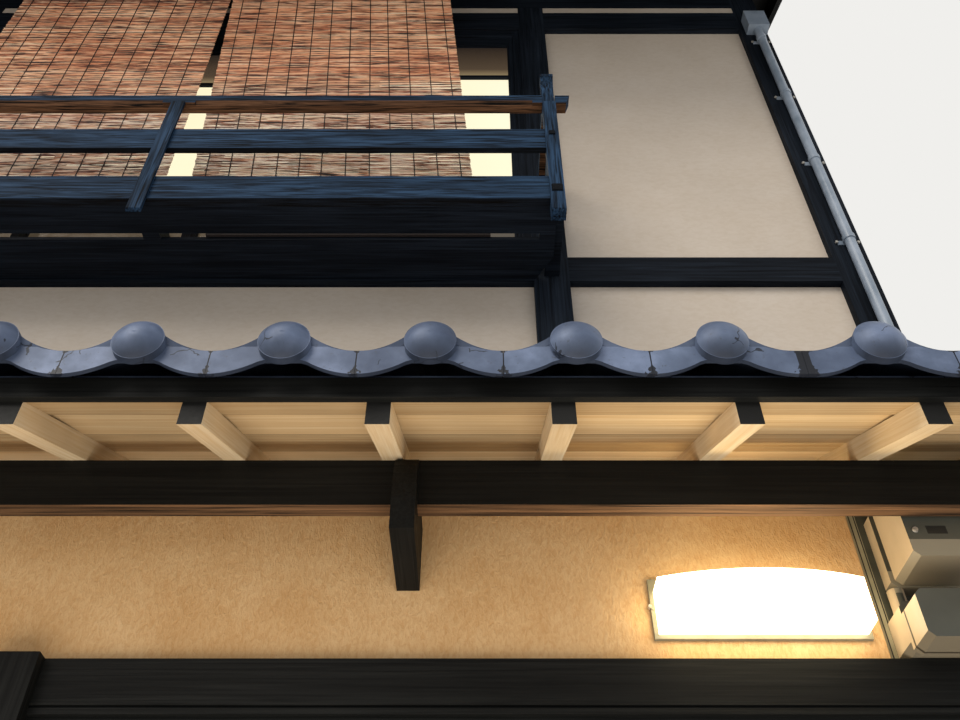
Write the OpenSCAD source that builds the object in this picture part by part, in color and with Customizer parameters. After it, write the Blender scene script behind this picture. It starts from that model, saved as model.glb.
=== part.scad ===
// Machiya townhouse: a two-storey timber townhouse, one house of a row.
// The street front faces -Y, +Z is up, and the origin is on the ground under the middle of the house.
// A distance "out" is measured towards the street from the front face of the upper posts.

/* [House] */
// Width across the two party walls
house_w = 4190; // [3600:5:5200]
// Depth from the front face of the front posts to the rear face of the rear posts
house_d = 7385; // [5600:5:9000]
// Width of the square posts
post_w = 105; // [90:1:130]
// Distance between the centres of the two window posts
window_bay = 2275; // [1820:5:2700]
// Thickness of the plaster panels between the posts
panel_t = 55; // [40:1:70]
// How far the plaster panels stand behind the face of the posts
panel_recess = 25; // [10:1:40]

/* [Heights] */
// Height of the stone base
base_h = 120; // [80:5:200]
// Top of the ground floor
ground_z = 150; // [130:5:220]
// Underside of the front lintel
lintel_z = 2237; // [2000:1:2400]
// Height of the front lintel
lintel_h = 111; // [90:1:150]
// Top of the upper floor
upper_floor_z = 3300; // [3150:5:3400]
// Underside of the beam below the window
mid_beam_z = 3568; // [3460:1:3650]
// Height of the beam below the window
mid_beam_h = 108; // [90:1:130]
// Underside of the beam over the window
top_beam_z = 5136; // [4950:1:5300]
// Height of the beam over the window
top_beam_h = 137; // [110:1:160]
// Height of the plaster strip over the top beam
strip_h = 46; // [30:1:80]
// Height of the wall plate that carries the roof
plate_h = 121; // [100:1:160]

/* [Ground storey front] */
// How far the lower plaster stands out from the face of the upper posts
lower_out = 73; // [40:1:100]
// How far the lintel stands out
lintel_out = 90; // [74:1:110]
// How far the ground-floor middle post stands out
middle_out = 120; // [105:1:140]
// Right edge of the middle post, from the middle of the front
middle_right = 76; // [40:1:120]
// Width of the lattice bars
lattice_bar = 24; // [18:1:36]
// Clear gap between the lattice bars
lattice_gap = 32; // [20:1:60]

/* [Lamp and meters] */
// Width of the meter board beside the corner post
meter_bay = 252; // [225:1:280]
// Distance from the middle of the lamp to the meter board
lamp_gap = 244; // [230:1:420]
// Length of the base of the lamp
lamp_l = 437; // [340:1:450]
// Top of the base of the lamp
lamp_top = 2527; // [2500:1:2540]
// Height of the base of the lamp
lamp_h = 134; // [110:1:150]

/* [Pent roof] */
// Rise of both roofs for one unit of run
roof_pitch = 0.5; // [0.42:0.01:0.6]
// How far the rafter ends stand out
rafter_out = 550; // [480:1:640]
// Underside of the rafters at their outer end
rafter_z = 2558; // [2540:1:2580]
// Width of a rafter
rafter_w = 44; // [36:1:54]
// Plumb height of a rafter
rafter_h = 54; // [44:1:66]
// Spacing of the rafters
rafter_step = 330.6; // [270:0.2:400]
// Distance from the middle of the last rafter to the outer face of the party wall
rafter_edge = 28; // [27:1:55]
// How far the eave purlin stands out
purlin_out = 262; // [220:1:300]
// Thickness of the eave purlin
purlin_t = 40; // [32:1:50]
// Height of the eave purlin at its front face
purlin_h = 112; // [90:1:125]
// Width of a bracket arm
arm_w = 48; // [40:1:60]
// Middle of the bracket arm that stands between the corners
arm_x = 776; // [700:1:850]
// Underside of the bracket arms
arm_z = 2506; // [2480:1:2530]

/* [Tiles] */
// Distance between two rolls of the tiles
tile_step = 264; // [220:0.5:310]
// Extra width of the one hollow that takes up the odd length of the rows
odd_hollow = 21; // [0:1:40]
// Radius of the domed end of a roll
dome_r = 47.5; // [40:0.5:54]
// Thickness of a tile
tile_t = 15; // [12:1:18]
// Depth of the hollow of a tile below its edges
pan_sag = 34; // [26:1:40]
// Height of the scalloped apron under an eave tile
apron_h = 57; // [40:1:70]

/* [Balcony] */
// How far the balcony posts stand out
rail_out = 300; // [250:1:360]
// Width of a balcony post
rail_post_w = 40; // [34:1:50]
// Top of the corner posts of the balcony
rail_post_top = 4225; // [4160:1:4300]
// Underside of the balcony posts
rail_post_z = 3516; // [3500:1:3530]
// Underside and height of the top rail
top_rail_z = 4061; // [4030:1:4090]
top_rail_h = 41; // [34:1:50]
// Underside and height of the middle rail
mid_rail_z = 3821; // [3790:1:3850]
mid_rail_h = 99; // [80:1:120]
// Underside and height of the bottom rail
low_rail_z = 3577; // [3570:1:3585]
low_rail_h = 103; // [90:1:120]
// How far the top rail runs past the corner posts
rail_tail = 45; // [30:1:70]

/* [Main roof] */
// How far the main eaves stand out from the posts
main_eave = 800; // [720:5:900]
// How far the main roof runs past the party walls
main_verge = 145; // [110:5:200]
// Plumb height of the main rafters
main_rafter_h = 80; // [60:1:100]
// Width of a main rafter
main_rafter_w = 60; // [45:1:75]

/* [Hidden] */

timber_dark = "#2b2a28";
timber_pale = "#b99a6b";
plaster_cream = "#cdbfae";
plaster_tan = "#b8935a";
tile_grey = "#7e8794";

half_w = house_w / 2;
half_d = house_d / 2;
inner_x = half_w - post_w;
window_x = window_bay / 2;
window_in = window_x - post_w / 2;
window_out = window_x + post_w / 2;
mid_beam_top = mid_beam_z + mid_beam_h;
top_beam_top = top_beam_z + top_beam_h;
plate_z = top_beam_top + strip_h;
plate_top = plate_z + plate_h;
lintel_top = lintel_z + lintel_h;
meter_x = inner_x - meter_bay;

// Place in Y of something that stands a distance out from the face of the upper posts
function out(d) = -half_d - d;

// Box between two corners
module box(lo, hi) translate(lo) cube(hi - lo);

// Outline given as [out, z] points, extruded across the front from x0 to x1
module across(x0, x1, points)
    translate([x0, 0, 0]) rotate([90, 0, 90]) linear_extrude(x1 - x0)
        polygon([for (p = points) [out(p[0]), p[1]]]);

// Outline given as [x, z] points, extruded from one distance out to another
module along(d0, d1, points)
    translate([0, out(d0), 0]) rotate([90, 0, 0]) linear_extrude(d1 - d0) polygon(points);

// Child repeated at +x and mirrored to -x
module both_sides() {
    children();
    mirror([1, 0, 0]) children();
}

// Child repeated at the front and mirrored to the rear
module front_and_rear() {
    children();
    mirror([0, 1, 0]) children();
}

// Ground storey

// Stone base with the raised ground floor inside it
module foundation() color("#8d8a84") {
    box([-half_w, out(middle_out), 0], [half_w, half_d, base_h]);
    box([-inner_x, out(-post_w), 0], [inner_x, half_d - post_w, ground_z]);
}

module corner_posts() color(timber_dark)
    front_and_rear() both_sides()
        box([inner_x, out(0), base_h], [half_w, out(-post_w), plate_top]);

middle_w = 105;

// Outline of what stands on the lintel and ends under the rafters, behind it the ledger
function wall_outline(d) = [
    [d, lintel_top], [d, rafter_under(d)], [ledger_t, rafter_under(ledger_t)],
    [ledger_t, ledger_z], [0, ledger_z], [0, lintel_top]];

module ground_posts() color(timber_dark) {
    both_sides() {
        box([inner_x, out(lintel_out), base_h], [half_w, out(0), lintel_z]);
        across(inner_x, half_w, wall_outline(corner_out));
    }
    across(middle_right - middle_w, middle_right, [
        [middle_out, base_h], [middle_out, lintel_top], [lintel_out, lintel_top],
        [lintel_out, lintel_z], [0, lintel_z], [0, base_h]]);
}

groove_z = 12;
groove_w = 6;

module front_lintel() color(timber_dark) difference() {
    box([-half_w, out(lintel_out), lintel_z], [half_w, out(0), lintel_top]);
    box([-half_w - 1, out(lintel_out + 1), lintel_z + groove_z],
        [half_w + 1, out(lintel_out - groove_w), lintel_z + groove_z + groove_w]);
}

// Height of the underside of the pent rafters at a distance out
function rafter_under(d) = rafter_z + (rafter_out - d) * roof_pitch;
function rafter_top(d) = rafter_under(d) + rafter_h;

sheath_h = 14;
ledger_t = 24;
ledger_h = 90;
ledger_top = rafter_top(ledger_t) + sheath_h;
ledger_z = ledger_top - ledger_h;
corner_out = 80;

module lower_front_wall() color(plaster_tan)
    across(-inner_x, meter_x, wall_outline(lower_out));

board_out = 60;

module meter_board() color(timber_dark)
    across(meter_x, inner_x, wall_outline(board_out));

frame_out = 80;
door_t = 30;
door_left = middle_right;
door_right = inner_x;
jamb = 30;
door_clear = door_right - door_left - 2 * jamb;
door_lap = 40;
door_foot = 380;
foot_rail = 70;
foot_sink = 8;
door_bar_in = 4;
door_bar_back = 20;
stile = 45;
front_door_out = frame_out - 4;
rear_door_out = front_door_out - door_t - 6;
door_w = (door_clear + door_lap) / 2;
threshold_top = base_h + 30;
door_head = lintel_z - 40;
slide_gap = 1;

module entrance_frame() color(timber_dark) difference() {
    box([door_left, out(frame_out), base_h], [door_right, out(0), lintel_z]);
    box([door_left + jamb, out(frame_out + 1), threshold_top], [door_right - jamb, out(-1), door_head]);
}

// Sliding door with a lattice of upright bars over a solid foot panel
module lattice_door(x, d) {
    w = door_w;
    z0 = threshold_top + slide_gap;
    z1 = door_head - slide_gap;
    bars = floor((w - 2 * stile + lattice_gap) / (lattice_bar + lattice_gap));
    step = (w - 2 * stile - lattice_bar * bars) / (bars + 1) + lattice_bar;
    difference() {
        box([x, out(d), z0], [x + w, out(d - door_t), z1]);
        box([x + stile, out(d + 1), z0 + door_foot], [x + w - stile, out(d - door_t - 1), z1 - stile]);
        box([x + stile, out(d + 1), z0 + foot_rail],
            [x + w - stile, out(d - foot_sink), z0 + door_foot - stile]);
    }
    for (i = [1:bars])
        box([x + stile + i * step - lattice_bar, out(d - door_bar_in), z0 + door_foot],
            [x + stile + i * step, out(d - door_bar_back), z1 - stile]);
}

module entrance_doors() color("#4a3524") {
    lattice_door(door_left + jamb, front_door_out);
    lattice_door(door_right - jamb - door_w, rear_door_out);
}

window_left = -inner_x;
window_right = middle_right - middle_w;
lattice_sill = 620;
lattice_edge = 60;
bar_front = 76;
bar_back = 46;
tie_t = 22;
tie_h = 40;

module lattice_window() color(timber_dark) {
    x0 = window_left;
    x1 = window_right;
    edge = lattice_edge;
    count = floor((x1 - x0 - 2 * edge + lattice_gap) / (lattice_bar + lattice_gap));
    step = (x1 - x0 - 2 * edge - lattice_bar * count) / (count + 1) + lattice_bar;
    difference() {
        box([x0, out(frame_out), base_h], [x1, out(0), lintel_z]);
        box([x0 + edge, out(frame_out + 1), lattice_sill], [x1 - edge, out(-1), lintel_z - edge]);
        box([x0 + edge, out(frame_out + 1), base_h + edge], [x1 - edge, out(bar_back), lattice_sill - edge]);
    }
    for (i = [1:count])
        box([x0 + edge + i * step - lattice_bar, out(bar_front), lattice_sill],
            [x0 + edge + i * step, out(bar_back), lintel_z - edge]);
    for (z = [1100, 1640])
        box([x0 + edge, out(bar_back), z], [x1 - edge, out(bar_back - tie_t), z + tie_h]);
}

pane_out = 18;
door_pane_in = 24;

module ground_glass() color([0.9, 0.9, 0.85, 0.5]) {
    box([window_left + lattice_edge, out(pane_out), lattice_sill],
        [window_right - lattice_edge, out(pane_out - glass_t), lintel_z - lattice_edge]);
    door_glass(door_left + jamb, front_door_out);
    door_glass(door_right - jamb - door_w, rear_door_out);
}

module door_glass(x, d)
    box([x + stile, out(d - door_pane_in), threshold_top + slide_gap + door_foot],
        [x + door_w - stile, out(d - door_pane_in - glass_t), door_head - slide_gap - stile]);

// Lamp on the lower wall: a flat enamelled base with a bowed diffuser on it

lamp_x = meter_x - lamp_gap;
lamp_base_t = 10;
lamp_rim = 9;
lamp_over = 30;
lamp_side_out = 143;
lamp_mid_out = 179;
screw_r = 4;

// Plan outline of the bowed front, as [x, out] points with one arc between the ends
function lamp_bow(half) = let (
    rise = lamp_mid_out - lamp_side_out,
    r = (half * half + rise * rise) / (2 * rise),
    a = asin(half / r))
    [for (i = [-8:8]) [r * sin(a * i / 8), lamp_side_out + r * cos(a * i / 8) - (r - rise)]];

module lamp_base() color("#8c8672") translate([lamp_x, 0, 0]) {
    z0 = lamp_top - lamp_h;
    base_out = lower_out + lamp_base_t;
    box([-lamp_l / 2, out(base_out), z0], [lamp_l / 2, out(lower_out), lamp_top]);
    both_sides() translate([lamp_l / 2 - lamp_rim / 2, out(base_out), lamp_top - lamp_h / 2])
        rotate([90, 0, 0]) cylinder(h = 2, r = screw_r, $fn = 24);
}

module lamp_diffuser() color("white") translate([lamp_x, 0, 0]) {
    half = lamp_l / 2 - lamp_rim;
    z0 = lamp_top - lamp_h + lamp_rim;
    translate([0, 0, z0]) linear_extrude(lamp_top - lamp_over - z0)
        polygon(concat([for (p = lamp_bow(half)) [p[0], out(p[1])]],
            [[half, out(lower_out + lamp_base_t)], [-half, out(lower_out + lamp_base_t)]]));
}

meter_w = 160;
meter_front = 215;
upper_meter_z = 2502;
upper_meter_h = 188;
lower_meter_z = 2350;
lower_meter_h = 100;
meter_cut = 12;
upper_meter_in = 47;
lower_meter_in = 22;
cover_r = 17;

// Housing with cut corners, x and z of its middle, width, height and the two distances it reaches between
module housing(x, z, w, h, d0, d1) along(d0, d1, [
    [x - w / 2 + meter_cut, z - h / 2], [x + w / 2 - meter_cut, z - h / 2],
    [x + w / 2, z - h / 2 + meter_cut], [x + w / 2, z + h / 2 - meter_cut],
    [x + w / 2 - meter_cut, z + h / 2], [x - w / 2 + meter_cut, z + h / 2],
    [x - w / 2, z + h / 2 - meter_cut], [x - w / 2, z - h / 2 + meter_cut]]);

module meter_boxes() color("#cbb998") {
    // upper instrument: a back housing, a waist and a deeper front housing
    x0 = meter_x + upper_meter_in + meter_w / 2;
    z0 = upper_meter_z + upper_meter_h / 2;
    housing(x0, z0, meter_w + 12, upper_meter_h, board_out, board_out + 34);
    housing(x0, z0, meter_w - 8, upper_meter_h - 12, board_out + 34, board_out + 42);
    housing(x0, z0, meter_w, upper_meter_h, board_out + 42, meter_front);
    // lower switch housing, in two shells with a joint line between them
    x1 = meter_x + lower_meter_in + meter_w / 2;
    z1 = lower_meter_z + lower_meter_h / 2;
    housing(x1, z1, meter_w, lower_meter_h, board_out, board_out + 70);
    housing(x1, z1 - 4, meter_w - 8, lower_meter_h - 16, board_out + 70, board_out + 76);
    housing(x1, z1 - 20, meter_w + 6, lower_meter_h, board_out + 76, meter_front);
    // cable cover between the two
    z2 = lower_meter_z + lower_meter_h;
    translate([x1 - meter_w / 2 + meter_cut + cover_r, out(board_out + cover_r), z2])
        cylinder(h = upper_meter_z - z2, r = cover_r, $fn = 32);
}

// Floor frame

floor_beam_z = 2620;
floor_t = 120;

// Beams at the height of the upper floor, with the ledger that carries the pent rafters on the front one
module floor_beams() color(timber_dark) {
    front_and_rear() box([-inner_x, out(0), floor_beam_z], [inner_x, out(-post_w), ledger_top]);
    box([-half_w, out(ledger_t), ledger_z], [half_w, out(0), ledger_top]);
}

module upper_floor() color("#8a6a45")
    box([-inner_x, out(-post_w), upper_floor_z - floor_t], [inner_x, half_d - post_w, upper_floor_z]);

// Pent roof over the ground storey

purlin_back = purlin_out - purlin_t;
nose_out = 306;
nose_lean = 6;
nose_h = 70;
seat_back = 26;
seat_h = 40;

// Bracket arm: runs out level from the wall and takes the purlin in a housing behind its curved nose
module bracket_arm(x, wall) {
    top = rafter_under(purlin_out) - 4;
    x0 = x - arm_w / 2;
    difference() {
        across(x0, x0 + arm_w, concat(
            [[wall, arm_z], [nose_out, arm_z], [nose_out + nose_lean, arm_z + nose_h]],
            [for (i = [0:6]) let (a = 15 * i)
                [purlin_out + (nose_out + nose_lean - purlin_out) * cos(a),
                    arm_z + nose_h + (top - arm_z - nose_h) * sin(a)]],
            [[purlin_back - seat_back, top], [purlin_back - seat_back, top - seat_h], [wall, top - seat_h]]));
        across(x0 - 1, x0 + arm_w + 1, [
            [purlin_out, rafter_under(purlin_out) - purlin_h], [purlin_out, top + 9],
            [purlin_back, top + 9], [purlin_back, rafter_under(purlin_out) - purlin_h]]);
    }
}

module bracket_arms() color(timber_dark) both_sides() {
    bracket_arm(arm_x, lower_out);
    bracket_arm(half_w - post_w / 2, corner_out);
}

module eave_purlin() color(timber_dark)
    across(-half_w, half_w, [
        [purlin_out, rafter_under(purlin_out) - purlin_h], [purlin_out, rafter_under(purlin_out)],
        [purlin_back, rafter_under(purlin_back)], [purlin_back, rafter_under(purlin_out) - purlin_h]]);

rafter_right = half_w - rafter_edge;
rafter_xs = concat([-rafter_right],
    [for (x = [rafter_right:-rafter_step:-rafter_right]) if (x > 2 * rafter_w - rafter_right) x]);

module pent_rafters() color(timber_pale)
    for (x = rafter_xs)
        across(x - rafter_w / 2, x + rafter_w / 2, [
            [rafter_out, rafter_under(rafter_out)], [rafter_out, rafter_top(rafter_out)],
            [ledger_t, rafter_top(ledger_t)], [ledger_t, rafter_under(ledger_t)]]);

verge_out = 145;
pent_half = half_w + verge_out;
tile_over = 15;
pent_tile_end = pent_half + tile_over;

eave_board = 90;
board_lift = 6;
board_run = 150;

// Boards on the rafters: the second one starts on the edge of the eave board, a little above the rafters
module pent_sheathing() color(timber_pale) {
    joint = rafter_out - eave_board;
    across(-pent_half, pent_half, [
        [rafter_out, rafter_top(rafter_out)], [rafter_out, rafter_top(rafter_out) + sheath_h],
        [ledger_t, rafter_top(ledger_t) + sheath_h], [ledger_t, rafter_top(ledger_t)],
        [joint - board_run, rafter_top(joint - board_run)], [joint, rafter_top(joint) + board_lift],
        [joint, rafter_top(joint)]]);
}

fascia_t = 15;
fascia_z = 2609;
fascia_top = rafter_top(rafter_out) + sheath_h + 30;

module pent_fascia() color(timber_dark)
    box([-pent_half, out(rafter_out + fascia_t), fascia_z], [pent_half, out(rafter_out), fascia_top]);

// Tiles: a roll and a hollow repeat across the roof at each tile step. Each course lies flatter than
// the roof by the thickness of a tile, so that its lower end rests on the course below.

slope = atan(roof_pitch);
// Place of one roll, from the middle of the front, and the number of the roll before the odd hollow
tile_shift = 44;
odd_roll = 5;
odd_x = tile_shift + (odd_roll + 0.5) * tile_step;
eave_out = 606;
pan_z = 2684;
course = 210;
head_lap = 50;
lap_gap = 1;
tile_pitch = roof_pitch - (tile_t + lap_gap) / (course * cos(slope));
tile_slope = atan(tile_pitch);
// Rise of the bed over the line through the lower ends of the tiles
bed_drop = (course + head_lap) * (roof_pitch - tile_pitch);
roll_edge = dome_r * 0.8;

// Place of a roll
function roll_x(k) = tile_shift + k * tile_step + (k > odd_roll ? odd_hollow : 0);

// Distance from the nearest roll
function from_roll(x) = let (
    even = x < odd_x ? x : max(odd_x, x - odd_hollow),
    p = (even - tile_shift) / tile_step) abs(p - round(p)) * tile_step;

// How far along the hollow a place lies: 0 in its middle, 1 at the roll
function hollow(u) = min(1, (tile_step / 2 - u) / (tile_step / 2 - roll_edge));

// Height of the underside of a tile over the bottom of its hollow, u away from the nearest roll
function tile_rise(u) = u < roll_edge
    ? pan_sag + sqrt(dome_r * dome_r - u * u) - sqrt(dome_r * dome_r - roll_edge * roll_edge)
    : pan_sag * hollow(u) * hollow(u);

// Evenly spaced places between two limits
tile_seg = 24;
function places(x0, x1) = let (n = max(2, round((x1 - x0) * tile_seg / tile_step)))
    [for (i = [0:n]) x0 + (x1 - x0) * i / n];

// Course of tiles between two limits: distance and height of the lower end, plan length
module tile_course(x0, x1, d, z, length, pitch) {
    xs = places(x0, x1);
    n = len(xs) - 1;
    a = atan(pitch);
    translate([0, out(d), z]) rotate([a, 0, 0]) rotate([90, 0, 0])
        translate([0, 0, -length / cos(a)]) linear_extrude(length / cos(a)) polygon(concat(
            [for (x = xs) [x, tile_rise(from_roll(x)) + tile_t]],
            [for (i = [n:-1:0]) [xs[i], tile_rise(from_roll(xs[i]))]]));
}

// Height of the top of the bed under the tiles of the pent roof
function bed_top(d) = pan_z - tile_t - bed_drop - lap_gap + (eave_out - d) * roof_pitch;

wall_tile_out = 70;
wall_tile_z = bed_top(0) + bed_drop + (tile_rise(0) + tile_t) / cos(tile_slope);
// The tiles end a little before the wall
wall_gap = 12;

module pent_roof_tiles() color(tile_grey) {
    across(-pent_half, pent_half, [
        [rafter_out, rafter_top(rafter_out) + sheath_h], [rafter_out, bed_top(rafter_out)],
        [0, bed_top(0)], [0, ledger_top], [ledger_t, ledger_top]]);
    for (k = [1:floor((eave_out - head_lap) / course)]) {
        d = eave_out - k * course;
        tile_course(-pent_tile_end, pent_tile_end, d, pan_z - tile_t + k * course * roof_pitch,
            min(course + head_lap, d - wall_gap), tile_pitch);
    }
    box([-pent_tile_end, out(wall_tile_out), wall_tile_z], [pent_tile_end, out(0), wall_tile_z + 2 * tile_t]);
}

apron_t = 9;
dome_rim = 16;
rim_step = 1;
dome_h = 23;
dome_z = 2697;

// Joints between the eave tiles lie in the middle of the hollows; a strip narrower than the
// smallest cut tile goes with its neighbour
tile_joint = 0.6;
cut_tile = 70;
pent_joints = concat([-pent_tile_end],
    [for (k = [-40:40]) let (x = (roll_x(k) + roll_x(k + 1)) / 2)
        if (abs(x) < pent_tile_end - cut_tile) x], [pent_tile_end]);

// Front edge of eave tiles: the scalloped apron and the domed ends of the rolls
module eave_edge(x0, x1) {
    xs = places(x0, x1);
    n = len(xs) - 1;
    along(eave_out - apron_t, eave_out, concat(
        [for (x = xs) [x, pan_z + tile_rise(from_roll(x)) * 0.9]],
        [for (i = [n:-1:0]) let (w = hollow(from_roll(xs[i]))) [xs[i], pan_z - apron_h + pan_sag * w * w]]));
    for (k = [-40:40])
        if (roll_x(k) - dome_r > x0 && roll_x(k) + dome_r < x1)
            translate([roll_x(k), out(eave_out), dome_z]) rotate([90, 0, 0]) {
                cylinder(h = dome_rim, r = dome_r, $fn = 64);
                translate([0, 0, dome_rim]) dome_cap();
            }
}

// Shallow cap of a larger sphere on the end of a roll, a little inside its rim
module dome_cap() intersection() {
    r = dome_r - rim_step;
    cap_r = (r * r + dome_h * dome_h) / (2 * dome_h);
    translate([0, 0, dome_h - cap_r]) sphere(r = cap_r, $fn = 96);
    translate([0, 0, -1]) cylinder(h = dome_h + 2, r = dome_r, $fn = 64);
}

// Each eave tile is a tile with its front edge, from one joint to the next
module pent_eave_tiles() color(tile_grey)
    for (i = [0:len(pent_joints) - 2]) {
        x0 = pent_joints[i] + tile_joint / 2;
        x1 = pent_joints[i + 1] - tile_joint / 2;
        tile_course(x0, x1, eave_out - apron_t, pan_z - tile_t + apron_t * tile_pitch,
            course + head_lap - apron_t, tile_pitch);
        eave_edge(x0, x1);
    }

// Upper storey

module window_posts() color(timber_dark)
    front_and_rear() both_sides()
        box([window_in, out(0), ledger_top], [window_out, out(-post_w), plate_z]);

// Spans between the posts of a wall, as [x0, x1]
end_span = [window_out, inner_x];
mid_span = [-window_in, window_in];

module between_posts(z0, z1, d0, d1) {
    both_sides() box([end_span[0], out(d0), z0], [end_span[1], out(d1), z1]);
    box([mid_span[0], out(d0), z0], [mid_span[1], out(d1), z1]);
}

// Beams between the posts: below the front window, over the windows and the wall plates
module upper_beams() color(timber_dark) {
    between_posts(mid_beam_z, mid_beam_top, 0, -post_w);
    front_and_rear() {
        between_posts(top_beam_z, top_beam_top, 0, -post_w);
        box([-inner_x, out(0), plate_z], [inner_x, out(-post_w), plate_top]);
    }
}

module upper_front_panels() color(plaster_cream) {
    d0 = -panel_recess;
    d1 = -panel_recess - panel_t;
    between_posts(ledger_top, mid_beam_z, d0, d1);
    between_posts(top_beam_top, plate_z, d0, d1);
    both_sides() box([end_span[0], out(d0), mid_beam_top], [end_span[1], out(d1), top_beam_z]);
}

frame_t = 26;
frame_d0 = -12;
frame_d1 = -92;
head_t = frame_t + 14;

module window_frame() color(timber_dark) difference() {
    box([-window_in, out(frame_d0), mid_beam_top], [window_in, out(frame_d1), top_beam_z]);
    box([-window_in + frame_t, out(frame_d0 + 1), mid_beam_top + frame_t],
        [window_in - frame_t, out(frame_d1 - 1), top_beam_z - head_t]);
}

sash_t = 28;
sash_w = (window_in - frame_t) / 2 + 12;
sash_z0 = mid_beam_top + frame_t;
sash_z1 = top_beam_z - head_t;
sash_stile = 24;
sash_foot = 60;
sash_head = 66;
muntin_z = 4778;
muntin_t = 15;
outer_sash = -20;
inner_sash = outer_sash - sash_t - 4;
// Left edge and depth of each sash
sashes = [[frame_t - window_in, outer_sash], [-sash_w, inner_sash], [0, inner_sash],
    [window_in - frame_t - sash_w, outer_sash]];

// The two lights of a sash at x, one over the other, between two depths
module lights(x, d0, d1) {
    x0 = x + sash_stile;
    x1 = x + sash_w - sash_stile;
    box([x0, out(d0), sash_z0 + sash_foot], [x1, out(d1), muntin_z]);
    box([x0, out(d0), muntin_z + muntin_t], [x1, out(d1), sash_z1 - sash_head]);
}

module window_sashes() color(timber_dark)
    for (s = sashes) difference() {
        box([s[0], out(s[1]), sash_z0], [s[0] + sash_w, out(s[1] - sash_t), sash_z1]);
        lights(s[0], s[1] + 1, s[1] - sash_t - 1);
    }

glass_t = 5;

module window_glass() color([0.9, 0.8, 0.5, 0.5])
    for (s = sashes) let (d = s[1] - (sash_t - glass_t) / 2) lights(s[0], d, d - glass_t);

// Balcony

rail_post_d = 39;
rail_set = 10;
post_back = rail_out - rail_post_d;
post_in = window_x - rail_post_w / 2;
post_out = window_x + rail_post_w / 2;
foot_cut = 6;
low_rail_t = 29;
mid_rail_t = 19;
deck_t = 12;
deck_top = low_rail_z + deck_t;
deck_cut_x = 48;
deck_cut_d = 84;
slit_out = 158;
slit_w = 22;
slit_end = 24;
balcony_arm_w = 44;
balcony_arm_top = deck_top + 61;

// Boards between the bottom rail and the wall, with a slit along them, and the arms that carry the rails
module balcony_floor() color(timber_dark) {
    difference() {
        translate([0, 0, low_rail_z]) linear_extrude(deck_t) polygon([
            [-window_x, out(post_back)], [window_x, out(post_back)], [window_x, out(deck_cut_d)],
            [window_x - deck_cut_x, out(0)], [deck_cut_x - window_x, out(0)], [-window_x, out(deck_cut_d)]]);
        both_sides() box([slit_end, out(slit_out + slit_w / 2), low_rail_z - 1],
            [post_in - slit_end, out(slit_out - slit_w / 2), deck_top + 1]);
    }
    for (x = [-window_x, 0, window_x])
        box([x - balcony_arm_w / 2, out(post_back), deck_top],
            [x + balcony_arm_w / 2, out(0), balcony_arm_top]);
}

// At the top rail a corner post narrows to a tenon; over it the front of its head is scooped
rail_top = top_rail_z + top_rail_h;
rail_front = rail_out - 5;
top_rail_d = 38;
top_rail_back = rail_front - top_rail_d;
head_in = rail_out - 25;
head_brow = 10;
tenon_w = 18;
tenon_d0 = top_rail_back + 5;
tenon_d1 = head_in - 4;
tenon_gap = 0.5;

module balcony_posts() color(timber_dark) {
    foot = [[rail_out, rail_post_z + foot_cut], [rail_out, top_rail_z]];
    across(-rail_post_w / 2, rail_post_w / 2, concat(foot, [[rail_out - rail_set, top_rail_z],
        [rail_out - rail_set, rail_post_z], [rail_out - foot_cut, rail_post_z]]));
    both_sides() {
        across(post_in, post_out, concat(foot, [[post_back, top_rail_z],
            [post_back, rail_post_z], [rail_out - foot_cut, rail_post_z]]));
        box([window_x - tenon_w / 2, out(tenon_d1), top_rail_z - 1],
            [window_x + tenon_w / 2, out(tenon_d0), rail_top + 1]);
        across(post_in, post_out, concat(
            [[post_back, rail_top], [post_back, rail_post_top], [rail_out, rail_post_top]],
            [for (i = [6:-1:0]) let (a = 15 * i) [head_in + (rail_out - head_in) * (1 - cos(a)),
                rail_top + (rail_post_top - head_brow - rail_top) * sin(a)]]));
    }
}

module balcony_bottom_rail() color(timber_dark) {
    d = rail_out - rail_set;
    top = low_rail_z + low_rail_h;
    box([-post_in, out(d), low_rail_z], [post_in, out(d - low_rail_t), top]);
    both_sides() box([post_in + 6, out(post_back), balcony_arm_top], [post_in + 6 + low_rail_t, out(0), top]);
}

module balcony_middle_rail() color(timber_dark) {
    d = rail_out - rail_set;
    top = mid_rail_z + mid_rail_h;
    box([-post_in, out(d), mid_rail_z], [post_in, out(d - mid_rail_t), top]);
    both_sides() box([post_in + 10, out(post_back), mid_rail_z], [post_in + 10 + mid_rail_t, out(0), top]);
}

tail_slant = 12;
rail_cut = 12;
cut_stop = 30;

module balcony_top_rail() color(timber_dark) {
    x = post_out + rail_tail;
    difference() {
        along(top_rail_back, rail_front, [
            [tail_slant - x, top_rail_z], [x - tail_slant, top_rail_z], [x, rail_top], [-x, rail_top]]);
        both_sides() {
            // recess in the front where the corner post stands
            box([post_in, out(rail_front + 1), top_rail_z - 1], [post_out, out(head_in), rail_top + 1]);
            box([window_x - tenon_w / 2 - tenon_gap, out(tenon_d1 + tenon_gap), top_rail_z - 1],
                [window_x + tenon_w / 2 + tenon_gap, out(tenon_d0 - tenon_gap), rail_top + 1]);
            // cut along the lower front edge, stopped before the posts
            across(rail_post_w / 2 + cut_stop, post_in - cut_stop, [
                [rail_front + 1, top_rail_z - 1], [rail_front + 1, top_rail_z + rail_cut],
                [rail_front, top_rail_z + rail_cut], [rail_front - rail_cut, top_rail_z],
                [rail_front - rail_cut, top_rail_z - 1]]);
        }
    }
    both_sides() box([window_x - top_rail_d / 2, out(top_rail_back), top_rail_z],
        [window_x + top_rail_d / 2, out(0), rail_top]);
}

// Reed blinds that hang from the main eaves

blind_t = 6;
blind_ref_z = 5064;

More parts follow.
